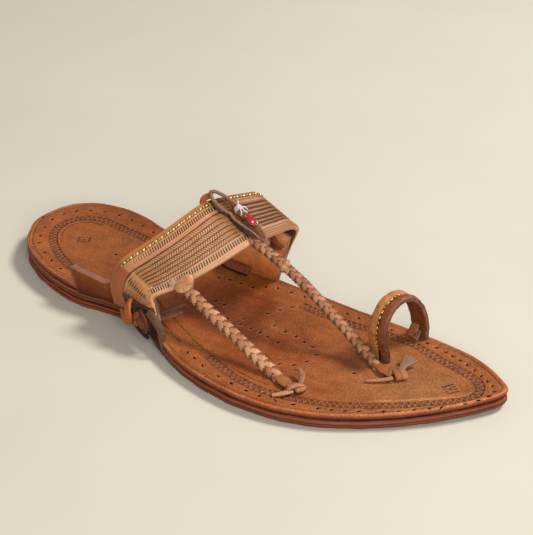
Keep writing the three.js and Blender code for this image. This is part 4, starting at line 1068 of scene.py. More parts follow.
def braid(name, points, pitch, tints, seed, size):
    c, t, s = path(points, 400)
    up = unit(arr(0, 0, 1) - t * t[:, 2:3])
    near = unit(arr(0, -1, 0) + t * t[:, 1:2])
    up = unit(0.84 * up + 0.54 * near)
    ac = np.cross(t, up)
    total = s[-1]
    at = lambda q: [np.stack([np.interp(q, s, a[:, i]) for i in range(3)], -1) for a in (c, ac, up)]
    bag = Bag()
    # core, darker: painted shade in the gaps between the leaves
    q = np.linspace(0, total, 60)
    C, A, U = at(q)
    sc = section(5.7 * size, 2.3, 12, 2.6)
    bag.add(C[:, None] + (A[:, None] * sc[None, :, 0:1] + U[:, None] * sc[None, :, 1:2]), tints[0] * 0.60, 0.7)
    n = int(total / (pitch / 2)) + 1
    ang = np.linspace(0, 2 * np.pi, 12, endpoint=False)
    for face in (1, -1):
        for i in range(n):
            side = 1 if (i + (face < 0)) % 2 else -1
            s0 = i * pitch / 2 - 1.4
            u = np.linspace(0, 1, 13)
            a = side * size * (-0.30 + 2.75 * u)
            sl = np.clip(s0 + (pitch + 0.4) * u, 0, total)
            hgt = 1.05 + 0.10 * np.sin(np.pi * np.clip(u * 0.86 + 0.10, 0, 1)) - 0.80 * sstep(u, 0.66, 1.0) - 0.25 * (1 - sstep(u, 0.0, 0.2))
            hw = 0.29 * pitch * np.clip(np.sin(np.pi * (0.16 + 0.72 * u)), 0.2, 1) ** 0.4
            hw = hw * (1 + 0.08 * hashed(i, seed + 3))
            ds, da = np.gradient(sl) + 1e-4, np.gradient(a)
            nn = np.hypot(ds, da) + 1e-9
            C, A, U = at(sl)
            T = np.cross(U, A)
            wdir = T * (-da / nn)[:, None] + A * (ds / nn)[:, None]
            centre = C + A * a[:, None] + U * (face * hgt)[:, None]
            rings = centre[:, None] + wdir[:, None] * (np.cos(ang)[None, :, None] * hw[:, None, None]) + U[:, None] * (face * -0.26 * side * np.cos(ang) + np.sign(np.sin(ang)) * np.abs(np.sin(ang)) ** 0.6 * 0.32)[None, :, None]
            r = hashed(i * 2 + (side > 0) + 50 * (face < 0), seed)
            col = mix(tints[0], tints[1], 0.5 + 0.5 * r)
            # painted shade: darker at each leaf's tucked start and along its edges where the next leaf covers it
            shade = np.repeat((0.12 + 0.88 * sstep(u, 0.03, 0.22))[:, None], 12, 1)
            shade = shade * (0.22 + 0.78 * sstep(1 - np.abs(np.cos(ang)), 0.0, 0.18))[None]
            bag.add(rings, col, shade)
    if size < 0.9:
        # a turn of thong keeps the plies together below the crown
        C, A, U = at(np.array([24.0, 24.6]))
        pillow(bag, C[0] + U[0] * 0.5, A[0] + 0.35 * (C[1] - C[0]), U[0], (3.7, 1.5, 1.9), rgb("#b98a62"), 161)
    return bag.done(name, M_BRAID, "upper")


# ------------------------------------------------------------------ toe loop
TOE_LOOP = [(218.8, -8.8, 6.0), (218.6, -9.4, 12), (218.2, -12.0, 21), (218.2, -10.8, 29), (218.6, -5.4, 34.2), (220.0, 2.2, 35.8),
            (221.8, 10.0, 32.4), (223.6, 15.8, 23.2), (224.4, 18.0, 14.4), (224.8, 17.2, 8.8), (224.8, 16.8, 6.0)]
LOOP_MIDDLE = arr(222.6, 3.6, 16)


def toe_frames(n):
    c, t, s = path(TOE_LOOP, n)
    up = c - LOOP_MIDDLE
    up[:, 0] = 0
    up[:, 2] = np.maximum(c[:, 2] - LOOP_MIDDLE[2], 0)
    up = unit(up - t * np.sum(up * t, -1, keepdims=True))
    for _ in range(10):
        up[1:-1] = unit(up[:-2] + up[1:-1] * 2 + up[2:])
    ac = unit(np.cross(t, up))
    ac = ac * np.sign(ac[:, 0:1])
    return c, t, up, ac, s


def toe_loop():
    n = 220
    c, t, up, ac, s = toe_frames(n)
    # (across, up, colour, painted shade and marks): across + is the front edge
    prof = []
    for a in np.linspace(-4.35, -0.75, 16):
        q = (a + 2.55) / 1.8
        prof.append((a, 1.15 + 0.42 * math.sqrt(max(1 - q * q, 0)), "#b27645", 1.0))
    # the groove between the two strips: dark, with painted shade
    prof += [(-0.5, 0.78, "#4a2813", 0.55), (-0.15, 0.62, "#3a1d0e", 0.4), (0.2, 0.78, "#4a2813", 0.55)]
    for a in np.linspace(0.42, 3.9, 16):
        q = (a - 2.15) / 1.8
        prof.append((a, 1.12 + 0.34 * math.sqrt(max(1 - q * q, 0)), "#80462a", 1.0))
    prof += [(4.3, 1.0, "#774c33", 1.0), (4.62, 0.7, "#6f4b38", 1.0), (4.6, 0.35, "#5d3a28", 0.7), (4.72, 0.1, "#6c4836", 1.0), (4.66, -0.3, "#5d3a28", 0.7),
             (4.6, -0.7, "#8a6653", 1.0), (4.2, -1.12, "#7a4a2c", 0.95)]
    for a in np.linspace(3.4, -3.8, 9):
        prof.append((a, -1.2, "#7c4423", 0.85))
    prof += [(-4.3, -1.05, "#7c4a2b", 0.9), (-4.6, -0.5, "#8a5636", 1.0), (-4.62, 0.3, "#8a5636", 1.0), (-4.5, 0.85, "#9c6238", 1.0)]
    A = np.array([p[0] for p in prof])
    B = np.array([p[1] for p in prof])
    col = np.array([rgb(p[2]) for p in prof])
    cv = np.array([p[3] for p in prof])
    wr = 0.17 * wob2(s[:, None] / 2.6, A[None] * 0.5, 70) + 0.15 * wob2(s[:, None] / 0.95, A[None] * 0.7, 71)
    edgew = (np.abs(A) > 4.1)[None] * (0.22 * wob2(s[:, None] / 1.7, B[None] * 2, 72))
    wid = 1 + 0.035 * wob(s / 11, 73)
    rings = c[:, None] + ac[:, None] * (A[None] * wid[:, None] + edgew)[..., None] + up[:, None] * (B[None] + wr)[..., None]
    tone = np.broadcast_to(col[None], rings.shape).copy()
    # painted shade near the foot, by the insole
    foot = np.maximum(1 - sstep(c[:, 2], 8, 15), 0)[:, None]
    shade_and_marks = cv[None] * (1 - 0.35 * foot)
    tone = tone * (1 + 0.12 * wob(s / 7, 74)[:, None] + 0.16 * wob2(s[:, None] / 1.3, A[None] * 1.1, 77))[..., None]
    v, f = tube(rings)
    make("toe_loop_strap", v, f, M_THONG, tone.reshape(-1, 3), shade_and_marks.ravel(), "toe_loop")
    # gold thread dashes in the groove
    bag = Bag()
    for j, q in enumerate(np.arange(8, s[-1] * 0.93, 2.45)):
        i = int(np.searchsorted(s, q))
        p = c[i] + up[i] * 1.02 + ac[i] * -0.15
        half = 0.92 + 0.2 * hashed(j, 15)
        rings = [p + t[i] * (w * half) + (ac[i] * sc[:, 0:1] + up[i] * sc[:, 1:2]) * math.sqrt(max(1 - w * w, 0.03))
                 for w in np.linspace(-1, 1, 7) for sc in [section(0.95, 0.6, 8, 2)]]
        bag.add(np.array(rings), rgb("#dcc06a") if j % 3 else rgb("#a98735"))
    bag.done("gold_thread_loop", M_GOLD, "toe_loop")
    # fold of leather at the far foot, inside the loop
    bag = Bag()
    bag.add(ribbon([(222.8, 16.2, 15.0), (222.8, 15.2, 12.8), (222.6, 14.4, 10.6), (222.4, 13.4, 8.8)], flare(4.0, 5.0, 5.8), 1.5, (0, -1, 0.5), 26, 14, wobble=0.22, seed=9), rgb("#9a5c38"), 0.95)
    bag.add(ribbon([(225.4, 15.6, 12.4), (225.2, 14.2, 11.0), (225.0, 13.2, 9.6), (224.8, 12.4, 8.6)], flare(2.0, 3.0, 3.6), 1.3, (0, -1, 0.5), 26, 12, wobble=0.2, seed=10), rgb("#7d5240"), 0.95)
    bag.done("toe_loop_fold", M_THONG, "toe_loop")


# ------------------------------------------------------------------ crown loop
def loop_half(f):
    """Half the loop's opening along its run: two lobes with a waist between."""
    f = np.asarray(f, float)
    rear = 0.3 + 3.1 * np.clip(np.sin(np.pi * np.clip((f + 0.11) / 0.58, 0, 1)), 0, 1) ** 0.6
    front = 0.3 + 2.5 * np.clip(np.sin(np.pi * np.clip((f - 0.27) / 0.80, 0, 1)), 0, 1) ** 0.6
    return np.maximum(rear, front)


def crown():
    rear_f, front_f, waist = -0.11, 1.06, 0.37
    kc = np.array(LOOP_K)
    n0 = band_normal(kc, np.array(0.5))
    across = unit(band_edge(kc + 0.3, 0) - band_edge(kc - 0.3, 0))
    across = unit(across - n0 * np.dot(across, n0))

    def centre(u):
        u = np.mod(np.asarray(u, float), 2)
        back = u > 1
        f = mix(rear_f, front_f, np.where(back, 2 - u, u))
        p = band_edge(kc, 0) * (1 - f[..., None]) + band_edge(kc, 3) * f[..., None]
        lie = 2.3 + 0.5 * back - 1.4 * sstep(f, 0.8, 1.06)
        return p + n0 * lie[..., None] + across * (np.where(back, 1, -1) * loop_half(f))[..., None]

    m = 300
    u = np.linspace(0, 2, m, endpoint=False)
    c = centre(u)
    for _ in range(5):
        c = (np.roll(c, 1, 0) + c * 2 + np.roll(c, -1, 0)) / 4
    t = unit(np.roll(c, -1, 0) - np.roll(c, 1, 0))
    farther = (np.sum((c - c.mean(0)) * across, -1))[:, None]
    lean = np.clip(farther / 3.0, -1, 1)
    up = unit(n0 + across * 0.55 * lean)
    up = unit(up - t * np.sum(up * t, -1, keepdims=True))
    wall = np.cross(t, up)  # points out of the loop
    sc = section(1, 1, 24, 3.6)
    tall = mix(2.6, 4.3, sstep(lean[:, 0], -0.6, 0.6)) * (1 + 0.05 * wob(u * 9, 81))
    rings = c[:, None] + up[:, None] * (sc[None, :, 0:1] * tall[:, None, None]) + wall[:, None] * (sc[None, :, 1:2] * 1.5)
    rings = rings + wall[:, None] * (0.14 * wob2(u[:, None] * 16, sc[None, :, 0] * 3, 82))[..., None]
    # outer faces brown, inner faces pale, upper edges lighter, painted shade near the band
    out_ = np.sign(np.sum(wall * (c - c.mean(0)), -1).mean())
    inner = (sc[None, :, 1] * out_ < -0.2) * np.ones((m, 1))
    top = (sc[None, :, 0] > 0.40) * np.ones((m, 1))
    near_band_shade = sstep(-sc[None, :, 0], 0.05, 0.45) * np.ones((m, 1))
    tone = np.where(inner[..., None] > 0, rgb("#b0744a"), rgb("#5f402f"))
    tone = np.where(top[..., None] > 0, rgb("#8e674f"), tone)
    stripe = 0.5 + 0.5 * np.sign(np.sin(u[:, None] * 70 + sc[None, :, 1] * 5))
    tone = tone * (1 - 0.10 * stripe)[..., None]
    shade_and_marks = np.clip(1 - 0.80 * near_band_shade, 0.1, 1) * np.where(np.abs(np.abs(sc[None, :, 1]) - 0.40) < 0.05, 0.6, 1.0)
    v, f = tube(rings, closed=True)
    make("crown_loop_thong", v, f, M_THONG, tone.reshape(-1, 3), shade_and_marks.ravel(), "top_loop")

    # the two runs' ends: thin plies over the front lobe that run on into the braid
    bag = Bag()
    k2 = LOOP_K
    run = lambda f, d, sh: (band_at(np.array(k2 + sh), np.array(f)) + n0 * d).tolist()
    bag.add(ribbon([run(0.62, 1.9, -0.13), run(0.75, 1.7, -0.13), run(0.88, 1.5, -0.12), run(0.98, 1.3, -0.1), run(1.05, 0.2, -0.08), run(1.12, -1.6, -0.06)], 2.8, 1.3, n0, 34, 12), rgb("#8f6044"), 0.95)
    bag.add(ribbon([run(0.60, 3.2, 0.12), run(0.74, 2.4, 0.12), run(0.88, 1.7, 0.12), run(0.98, 1.3, 0.10), run(1.06, 0.1, 0.08), run(1.13, -1.8, 0.06)], 3.0, 1.3, n0, 34, 12), rgb("#6e452f"), 0.95)
    # a tight turn where both runs go into the braid
    e = band_at(np.array(k2), np.array(1.05)) + n0 * 1.1
    pillow(bag, e, across, n0, (3.0, 1.7, 1.5), rgb("#86604a"), 181)
    pillow(bag, e + arr(1.6, -0.1, -1.0), across, n0, (2.7, 1.4, 1.3), rgb("#7a543f"), 182)
    # lacing end that shows behind the rear edge
    bag.add(ribbon([run(0.0, -1.2, -0.62), run(-0.05, -0.6, -0.5), run(-0.08, -0.1, -0.32), run(-0.08, 0.4, -0.12)], 3.2, 1.4, n0, 20, 12), rgb("#a2562c"), 0.9)
    bag.done("crown_loop_ends", M_THONG, "top_loop")

    # white thread bound round the farther run at the waist
    bag = Bag()
    uw = 2 - (waist - rear_f) / (front_f - rear_f)
    mid = centre(uw) + n0 * 0.5 + across * 0.3
    run_dir = unit(centre(uw - 0.03) - centre(uw + 0.03))
    rng = np.linspace(0, 2 * np.pi, 30, endpoint=False)
    for j, q in enumerate(np.linspace(-0.9, 0.9, 4)):
        tilt = 0.8 * hashed(j, 90)
        cc = mid + run_dir * q
        loop = cc + across * (np.cos(rng)[:, None] * 1.75) + n0 * (np.sin(rng)[:, None] * 2.5) + run_dir * (np.cos(rng) * tilt)[:, None]
        tt = unit(np.roll(loop, -1, 0) - np.roll(loop, 1, 0))
        oo = unit(loop - cc)
        ww = np.cross(tt, oo)
        ang = np.linspace(0, 2 * np.pi, 8, endpoint=False)
        bag.add(loop[:, None] + 0.30 * (oo[:, None] * np.cos(ang)[None, :, None] + ww[:, None] * np.sin(ang)[None, :, None]), rgb("#ded3d6"), closed=True)
    a, b = across, run_dir
    for pts in (
        [mid + n0 * 2.6 - b * 0.4, mid + n0 * 3.2 + b * 0.9 + a * 0.8, mid + n0 * 2.9 + b * 2.6 + a * 1.5, mid + n0 * 2.2 + b * 3.6 + a * 2.6],
        [mid + n0 * 2.6 + b * 0.4, mid + n0 * 3.3 + b * 1.6 - a * 0.2, mid + n0 * 3.2 + b * 3.4 - a * 0.3, mid + n0 * 2.6 + b * 4.6 - a * 0.9],
        [mid + n0 * 2.5 - b * 1.0, mid + n0 * 3.1 - b * 2.2 + a * 0.3, mid + n0 * 2.9 - b * 3.0 + a * 0.6, mid + n0 * 2.7 - b * 3.4 + a * 0.9],
        [mid + n0 * 2.6 + a * 1.0, mid + n0 * 2.4 + a * 2.6 + b * 0.6, mid + n0 * 1.2 + a * 3.6 + b * 1.2, mid + n0 * 0.2 + a * 4.2 + b * 1.4],
    ):
        bag.add(ribbon(pts, 0.5, 0.5, n0 + 0.1 * a, 18, 8, 2), rgb("#e6dee4"))
    bag.done("binding_thread", M_WHITE, "top_loop")

    # red cut stone in a thin setting, on the front lobe's farther run
    us = 2 - (0.67 - rear_f) / (front_f - rear_f)
    p = centre(us) - across * 0.7
    tdir = unit(centre(us - 0.05) - centre(us + 0.05))
    nn = unit(n0 + across * 0.15)
    nn = unit(nn - tdir * np.dot(nn, tdir))
    bb = np.cross(nn, tdir)
    base = p + nn * 1.5
    ang = np.linspace(0, 2 * np.pi, 16, endpoint=False)
    rings = []
    for r, hh, ph in ((0.80, 0.0, 0), (1.0, 0.75, 0), (1.0, 1.0, 0), (0.80, 1.75, 0.5), (0.52, 2.25, 0)):
        a2 = ang + ph * np.pi / 16
        rings.append(base + tdir * (np.cos(a2) * 3.3 * r)[:, None] + bb * (np.sin(a2) * 2.0 * r)[:, None] + nn * hh)
    v, f = tube(np.array(rings))
    make("stone_cut", v, f, M_STONE, rgb("#a3060f"), None, "stone", flat=True)
    bag = Bag()
    a3 = np.linspace(0, 2 * np.pi, 48, endpoint=False)
    loop = base + tdir * (np.cos(a3) * 3.4)[:, None] + bb * (np.sin(a3) * 2.1)[:, None] + nn * 0.55
    oo = unit(loop - base - nn * 0.55)
    an = np.linspace(0, 2 * np.pi, 8, endpoint=False)
    bag.add(loop[:, None] + oo[:, None] * (0.28 * np.cos(an))[None, :, None] + nn * (0.6 * np.sin(an))[None, :, None], rgb("#6e1a14"), closed=True)
    bag.done("stone_setting", M_STONE, "stone")


# ------------------------------------------------------------------ disc, knots, ties
def disc():
    k, f = np.array(3.42), np.array(1.035)
    p, n = band_at(k, f), band_normal(k, f)
    e = unit(band_edge(k, 3) - band_edge(k, 0))
    e = unit(e - n * np.dot(e, n))
    g = np.cross(n, e)
    ang = np.linspace(0, 2 * np.pi, 72, endpoint=False)
    out = 1 + 0.06 * np.cos(2 * ang + 0.6) + 0.05 * np.cos(3 * ang + 1.9) + 0.02 * wob(ang * 5, 95)
    rings, tone, shade_and_marks = [], [], []
    # rings from the underside to the top: lower rim darker as painted shade, rounded shoulder lightest as a painted
    # highlight
    for r, z, c, w in ((0.02, 0.1, "#7a4a2e", 0.6), (0.9, 0.1, "#7a4a2e", 0.5), (0.985, 0.28, "#5e3520", 0.6), (1.0, 0.75, "#9c6b4a", 1), (0.97, 1.25, "#b07a54", 1),
                       (0.9, 1.62, "#c8936b", 1), (0.75, 1.86, "#bd875f", 1), (0.5, 2.02, "#b9825b", 1), (0.25, 2.08, "#b57d57", 1), (0.02, 2.1, "#b57d57", 1)):
        rr = r * (out if r > 0.3 else 1)
        rings.append(p + n * (2.3 + z) + n * (0.12 * wob(ang * 2 + r * 7, 96))[:, None] * (r < 0.95) + g * (np.cos(ang) * 5.1 * rr)[:, None] + e * (np.sin(ang) * 4.0 * rr)[:, None])
        tone.append(rgb(c) * (1 + 0.16 * wob(ang * 2.2 + r * 3, 97))[:, None])
        shade_and_marks.append(w - 0.4 * (np.abs(wob(ang * 2.6 + r * 1.3, 98)) < 0.05) * (0.2 < r < 0.95))
    v, f_ = tube(np.array(rings))
    make("side_disc_leather", v, f_, M_BAND, np.vstack(tone), np.concatenate(shade_and_marks), "side_disc")
    # the thong under the disc that holds braid and band together
    bag = Bag()
    q = lambda kk, ff, d: (band_at(np.array(kk), np.array(ff)) + band_normal(np.array(kk), np.array(ff)) * d).tolist()
    bag.add(ribbon([q(3.05, 0.86, 0.5), q(3.1, 0.93, 1.6), q(3.2, 1.02, 2.2), q(3.3, 1.08, 2.3)], 3.0, 1.1, n, 20, 12), rgb("#d5a683"), 0.95)
    bag.add(ribbon([(118.6, -38.4, 30.6), (121.6, -38.0, 31.2), (124.4, -38.0, 30.6), (127.6, -38.4, 29.6)], 5.6, 3.6, (0, 0, 1), 20, 14, 2.4), rgb("#b98763"), 0.85)
    bag.done("side_disc_thong", M_THONG, "side_disc")


def flare(a, b, c):
    return lambda u: mix(mix(a, b, min(u * 2, 1)), c, max(u * 2 - 1, 0))


def knots():
    up = (0, 0, 1)
    # centre knot: a turn pulled through itself, a thin tail and a fish tail
    z = float(insole_rim(228)) - 0.7
    bag = Bag()
    bag.add(ribbon([(220.2, -15.6, z + 1.4), (223.8, -17.0, z + 1.6), (227.2, -18.2, z + 1.7), (230.0, -19.2, z + 1.6)], flare(4.2, 6.4, 4.4), 1.5, up, 30, 14, wobble=0.1), rgb("#93552f"), 0.95)
    bag.add(ribbon([(222.4, -29.0, z + 0.9), (226.0, -26.4, z + 1.1), (229.6, -23.6, z + 1.4), (232.0, -21.2, z + 1.8)], flare(1.4, 2.0, 2.6), 1.1, up, 30, 12), rgb("#a8704f"), 0.98)
    pillow(bag, (232.6, -16.6, z + 1.2), (0.76, -0.65, 0.0), up, (3.2, 3.0, 1.2), rgb("#4a2614"), 141)
    bag.add(ribbon([(228.4, -14.4, z + 1.2), (229.8, -15.6, z + 2.0), (231.8, -17.4, z + 2.4), (233.8, -19.2, z + 2.0), (234.7, -20.0, z + 0.9)], 3.3, 1.5, up, 34, 14, 2.6), rgb("#95592f"), 0.92)
    bag.add(ribbon([(230.6, -12.4, z + 1.2), (232.2, -13.6, z + 2.0), (234.0, -15.2, z + 2.4), (235.8, -16.9, z + 2.0), (236.5, -17.6, z + 0.9)], 3.3, 1.5, up, 34, 14, 2.6), rgb("#a86b42"), 0.95)
    bag.add(ribbon([(231.2, -21.2, z + 1.0), (229.4, -19.8, z + 1.9), (228.2, -17.2, z + 2.2), (228.6, -14.9, z + 2.4), (230.4, -13.6, z + 2.4), (232.0, -14.0, z + 2.0)], 1.5, 1.0, up, 40, 12), rgb("#875029"), 0.9)
    bag.add(ribbon([(232.4, -15.6, z + 2.4), (232.2, -12.0, z + 2.8), (232.2, -8.4, z + 3.3), (232.4, -4.4, z + 3.7)], flare(2.2, 4.2, 8.4), 1.0, (0.1, -0.35, 1), 30, 14), rgb("#86614c"), 0.98)
    bag.done("knot_centre_thong", M_THONG, "knot_centre")
    # side knot
    z = float(insole_rim(197)) - 0.7
    bag = Bag()
    bag.add(ribbon([(187.4, -49.4, z + 1.6), (190.6, -50.6, z + 1.8), (194.0, -52.0, z + 1.9), (197.0, -53.2, z + 1.7)], flare(4.4, 6.2, 4.6), 1.5, up, 30, 14, wobble=0.1), rgb("#9c6036"), 0.95)
    bag.add(ribbon([(193.2, -62.4, z + 1.0), (195.6, -60.2, z + 1.3), (198.0, -57.8, z + 1.7), (199.8, -55.4, z + 2.0)], flare(1.8, 2.5, 2.6), 1.4, up, 30, 12), rgb("#b98a6c"), 0.98)
    pillow(bag, (198.4, -53.2, z + 2.2), (0.62, 0.78, 0.0), up, (3.5, 1.8, 1.8), rgb("#9c6039"), 151)
    pillow(bag, (201.6, -52.4, z + 2.0), (0.45, 0.89, 0.0), up, (3.0, 2.0, 1.5), rgb("#aa734c"), 152)
    bag.add(ribbon([(196.2, -56.4, z + 0.8), (198.0, -56.2, z + 3.0), (200.4, -54.0, z + 4.3), (202.2, -51.2, z + 3.6), (202.8, -49.2, z + 1.2)], 2.3, 1.0, (-0.2, -0.3, 1), 34, 12), rgb("#b07d58"), 0.95)
    bag.add(ribbon([(200.2, -50.6, z + 2.4), (199.4, -47.2, z + 3.0), (197.4, -44.0, z + 3.9), (194.6, -42.2, z + 4.2), (192.8, -42.4, z + 3.6)], flare(2.4, 2.6, 1.8), 1.2, (0.2, -0.4, 1), 34, 12, twist=0.7), rgb("#97684e"), 0.98)
    bag.done("knot_side_thong", M_THONG, "knot_side")


def ties():
    # lateral tie: loops and a leaf-shaped end outside the ear
    bag = Bag()
    ff = np.linspace(0.36, 1.0, 7)
    lay = lambda dk, d: [(band_at(np.array(overlay_end(w) + dk), np.array(w)) + band_normal(np.array(overlay_end(w) + dk), np.array(w)) * d).tolist() for w in ff]
    side_up = band_normal(np.array(0.8), np.array(0.6))
    bag.add(ribbon(lay(-0.20, 0.35), flare(3.2, 4.6, 3.2), 2.0, side_up, 44, 16, wobble=0.32, seed=5), rgb("#573421"), 0.95)
    bag.add(ribbon(lay(-0.50, -0.25), flare(2.6, 3.4, 2.8), 1.7, side_up, 44, 14, wobble=0.25, seed=6), rgb("#452414"), 0.85)
    bag.add(ribbon(lay(-0.04, 0.55), flare(1.0, 1.4, 1.1), 1.2, side_up, 44, 12, wobble=0.15, seed=7), rgb("#8f6b55"), 0.98)
    o1, o2, o3 = rgb("#9a5320"), rgb("#6f3816"), rgb("#2c150a")
    # the strap goes on down in front of the ear's edge
    bag.add(ribbon([(116.4, -54.2, 20.4), (120.4, -55.0, 18.6), (123.6, -55.4, 15.8), (125.8, -55.9, 12.6), (127.2, -56.4, 9.4)], flare(3.6, 3.9, 2.9), 1.5, (0.55, -0.75, 0.4), 40, 14, wobble=0.30, seed=8), rgb("#5f3f2b"), 0.95)
    bag.add(ribbon([(104.2, -51.6, 22.0), (105.2, -55.0, 20.8), (106.2, -56.6, 17.8), (106.9, -56.6, 14.8), (106.2, -55.2, 12.2)], flare(2.6, 4.0, 3.2), 1.9, (-0.1, -1, 0.2), 40, 16, wobble=0.2), o1, 0.98)
    bag.add(ribbon([(99.6, -53.6, 15.4), (102.2, -55.2, 14.8), (104.8, -56.6, 14.0), (107.6, -56.4, 13.4)], flare(2.0, 4.6, 3.0), 1.5, (-0.3, -1, 0.3), 30, 14, wobble=0.18), o1 * 1.08, 0.98)
    bag.add(ribbon([(103.2, -53.8, 10.4), (104.6, -55.8, 11.4), (106.2, -56.8, 13.0), (107.4, -56.4, 15.2)], flare(1.6, 3.4, 2.4), 1.4, (0, -1, -0.2), 30, 14), o1 * 0.85, 0.95)
    pillow(bag, (110.8, -55.4, 16.8), (0.75, -0.1, 0.6), (-0.2, -1, 0.3), (2.8, 1.9, 1.7), o2 * 1.2, 171)
    pillow(bag, (114.2, -56.2, 14.4), (0.55, -0.1, -0.8), (-0.1, -1, 0.3), (3.4, 2.2, 1.7), o2, 172)
    pillow(bag, (110.4, -55.4, 12.8), (0.9, -0.1, -0.3), (0, -1, 0.3), (2.2, 1.5, 1.4), o1 * 0.9, 173)
    bag.add(ribbon([(111.6, -54.2, 19.4), (115.4, -56.6, 18.2), (118.0, -57.4, 15.0), (117.4, -57.2, 11.6), (114.6, -55.8, 9.6)], flare(2.2, 2.8, 2.0), 1.4, (0, -1, 0.4), 40, 14, wobble=0.12), o2 * 0.75, 0.85)
    # near-black thongs with strong darkening: painted shade of the hooks in the tie's hollows
    bag.add(ribbon([(107.6, -54.2, 19.8), (108.8, -55.4, 17.0), (109.0, -55.6, 13.6), (108.4, -54.8, 10.6)], flare(2.0, 2.6, 2.0), 1.2, (0, -1, 0.2), 30, 12), o3, 0.35)
    bag.add(ribbon([(116.8, -55.2, 18.8), (119.6, -56.8, 15.8), (119.8, -57.0, 12.4), (117.8, -56.2, 9.6)], 1.5, 1.2, (0, -1, 0.4), 36, 12), o3, 0.35)
    bag.add(ribbon([(106.8, -52.6, 9.4), (110.6, -54.6, 9.0), (114.4, -56.2, 8.6), (118.6, -57.4, 8.0)], 1.8, 1.2, (0, -1, 0.3), 30, 12), o3, 0.4)
    bag.done("tie_lateral_thong", M_THONG, "tie_lateral")
    # medial tie, the same knot on the far side
    bag = Bag()
    bag.add(ribbon([(121.0, 26.8, 17.0), (121.2, 29.4, 16.4), (121.6, 31.0, 13.6), (122.0, 31.0, 10.8), (123.0, 29.4, 8.8)], flare(3.0, 3.6, 3.0), 1.5, (0, 1, 0), 40, 14), o1, 0.98)
    bag.add(ribbon([(116.6, 29.0, 12.6), (119.0, 30.6, 11.2), (122.4, 31.2, 10.6), (125.4, 30.6, 11.4)], flare(2.2, 4.0, 2.8), 1.4, (0, 1, 0.3), 30, 14), o1 * 0.9, 0.98)
    bag.add(ribbon([(125.6, 28.4, 15.4), (126.8, 30.8, 14.6), (129.0, 31.6, 12.2), (130.6, 30.4, 9.6)], flare(2.8, 3.2, 2.6), 1.4, (0, 1, 0.4), 36, 14), o2, 0.95)
    bag.add(ribbon([(131.0, 28.6, 16.0), (132.6, 31.0, 15.2), (134.8, 31.6, 12.6), (135.4, 30.2, 10.2)], flare(2.6, 3.0, 2.4), 1.4, (0, 1, 0.4), 36, 14), o2 * 0.9, 0.95)
    bag.done("tie_medial_thong", M_THONG, "tie_medial")
    # turn of thong inside the medial ear
    bag = Bag()
    bag.add(ribbon([(140.4, 16.6, 37.6), (141.0, 14.4, 38.0), (143.6, 13.2, 36.6), (145.8, 13.4, 34.2), (146.8, 15.6, 32.4)], flare(2.6, 3.6, 2.8), 1.4, (0, -1, 0.2), 34, 14), rgb("#8e4c25"), 0.85)
    bag.add(ribbon([(140.6, 16.4, 33.2), (141.6, 14.2, 32.4), (144.0, 13.6, 32.2), (146.4, 15.8, 31.8)], 2.4, 1.3, (0, -1, 0.3), 30, 14), rgb("#7c3f1e"), 0.75)
    bag.done("tie_medial_inner_thong", M_THONG, "tie_medial_inner")
    # loose ends inside the lateral ear: two flat thongs side by side
    bag = Bag()
    bag.add(ribbon([(115.4, -45.2, 14.6), (118.4, -44.4, 16.4), (122.0, -43.2, 18.4), (126.0, -42.0, 20.8), (129.6, -40.8, 22.6)], flare(2.2, 2.6, 1.3), 1.2, (0.3, -0.4, 1), 36, 14, wobble=0.12), rgb("#75503e"), 0.95)
    bag.add(ribbon([(116.8, -47.0, 12.4), (119.6, -46.0, 13.8), (122.8, -44.8, 15.6), (126.0, -43.6, 17.2), (128.4, -42.8, 18.6)], flare(2.2, 2.8, 1.4), 1.3, (0.3, -0.4, 1), 36, 14, wobble=0.12), rgb("#8a5e48"), 0.95)
    bag.done("tail_lateral_thong", M_THONG, "tail_lateral")
    # strip lying inside the medial ear
    bag = Bag()
    bag.add(ribbon([(104.4, 17.0, 12.6), (110.0, 16.2, 12.4), (117.0, 15.6, 12.2), (123.0, 15.0, 12.3), (127.4, 14.6, 12.7)], flare(4.0, 5.2, 5.0), 1.5, (0, -0.45, 1), 40, 16, wobble=0.25), rgb("#80492a"), 0.95)
    # thin near-black ribbon under the strip's near edge: a painted shadow
    bag.add(ribbon([(110.0, 14.3, 10.9), (117.0, 13.4, 10.5), (123.0, 12.8, 10.6), (127.4, 12.4, 11.0)], 1.0, 0.9, (0, -0.45, 1), 30, 12), rgb("#24110a"), 0.3)
    bag.done("tail_medial_thong", M_THONG, "tail_medial")


insole()
sole_layers()
ear("ear_lateral", EAR_LATERAL, -1, 101)
ear("ear_medial", EAR_MEDIAL, 1, 111)
band()
gold_line()
braid("braid_centre", CENTRE_BRAID, 3.9, (rgb("#96603f"), rgb("#b98360")), 121, 0.86)
braid("braid_side", SIDE_BRAID, 4.8, (rgb("#a66d48"), rgb("#cb9a75")), 131, 0.98)
toe_loop()
crown()
disc()
knots()
ties()

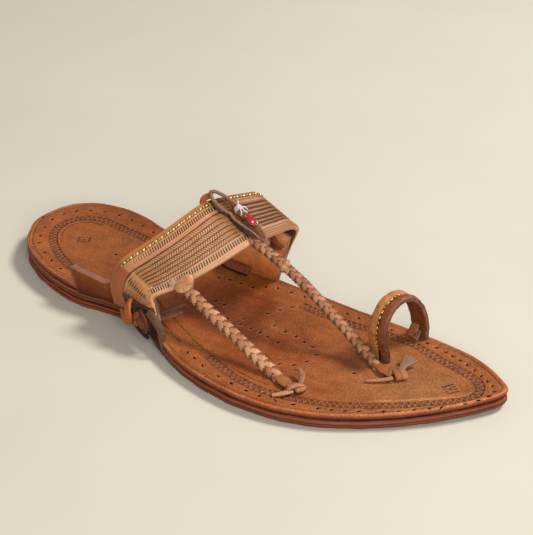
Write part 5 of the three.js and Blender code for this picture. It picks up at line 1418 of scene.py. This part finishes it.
# ------------------------------------------------------------------ stage
def floor():
    me = bpy.data.meshes.new("floor")
    r = 4.0
    me.from_pydata([(-r, -r, 0), (r, -r, 0), (r, r, 0), (-r, r, 0)], [], [(0, 1, 2, 3)])
    o = bpy.data.objects.new("floor", me)
    bpy.context.scene.collection.objects.link(o)
    t = Tree("floor_paper")
    n = t.noise(9, 4)
    t.put(t.bsdf.inputs["Base Color"], t.blend(n, (0.58, 0.55, 0.48), (0.65, 0.62, 0.55)))
    t.bsdf.inputs["Roughness"].default_value = 0.92
    t.bsdf.inputs["Specular IOR Level"].default_value = 0.15
    me.materials.append(t.m)


floor()
AZ, EL, DIST = math.radians(34.13), math.radians(31.0), 0.740
back = Vector((math.sin(AZ) * math.cos(EL), -math.cos(AZ) * math.cos(EL), math.sin(EL)))
target = Vector(((121.20 - ORIGIN[0]) / 1000, (39.60 - ORIGIN[1]) / 1000, 0))
cam = bpy.data.objects.new("camera", bpy.data.cameras.new("camera"))
bpy.context.scene.collection.objects.link(cam)
cam.location = target + back * DIST
cam.rotation_euler = (-back).to_track_quat("-Z", "Y").to_euler()
cam.data.lens = 1400 / 535 * 36
cam.data.sensor_width = 36
cam.data.clip_start = 0.01
bpy.context.scene.camera = cam


def lamp(name, place, aim, size, power, colour):
    d = bpy.data.lights.new(name, "AREA")
    d.shape, d.size, d.energy, d.color = "DISK", size, power, colour
    o = bpy.data.objects.new(name, d)
    bpy.context.scene.collection.objects.link(o)
    o.location = place
    o.rotation_euler = (Vector(place) - Vector(aim)).to_track_quat("Z", "Y").to_euler()


lamp("key", (0.62, 0.72, 1.30), (0, 0, 0.02), 0.45, 23, (1.0, 0.95, 0.88))
lamp("fill", (0.98, -0.92, 0.74), (0, 0, 0.02), 0.9, 15, (1.0, 0.95, 0.90))
world = bpy.data.worlds.new("studio")
bpy.context.scene.world = world
world.use_nodes = True
world.node_tree.nodes["Background"].inputs[0].default_value = (1.0, 0.97, 0.93, 1)
world.node_tree.nodes["Background"].inputs[1].default_value = 0.28
bpy.context.scene.view_settings.view_transform = "Standard"
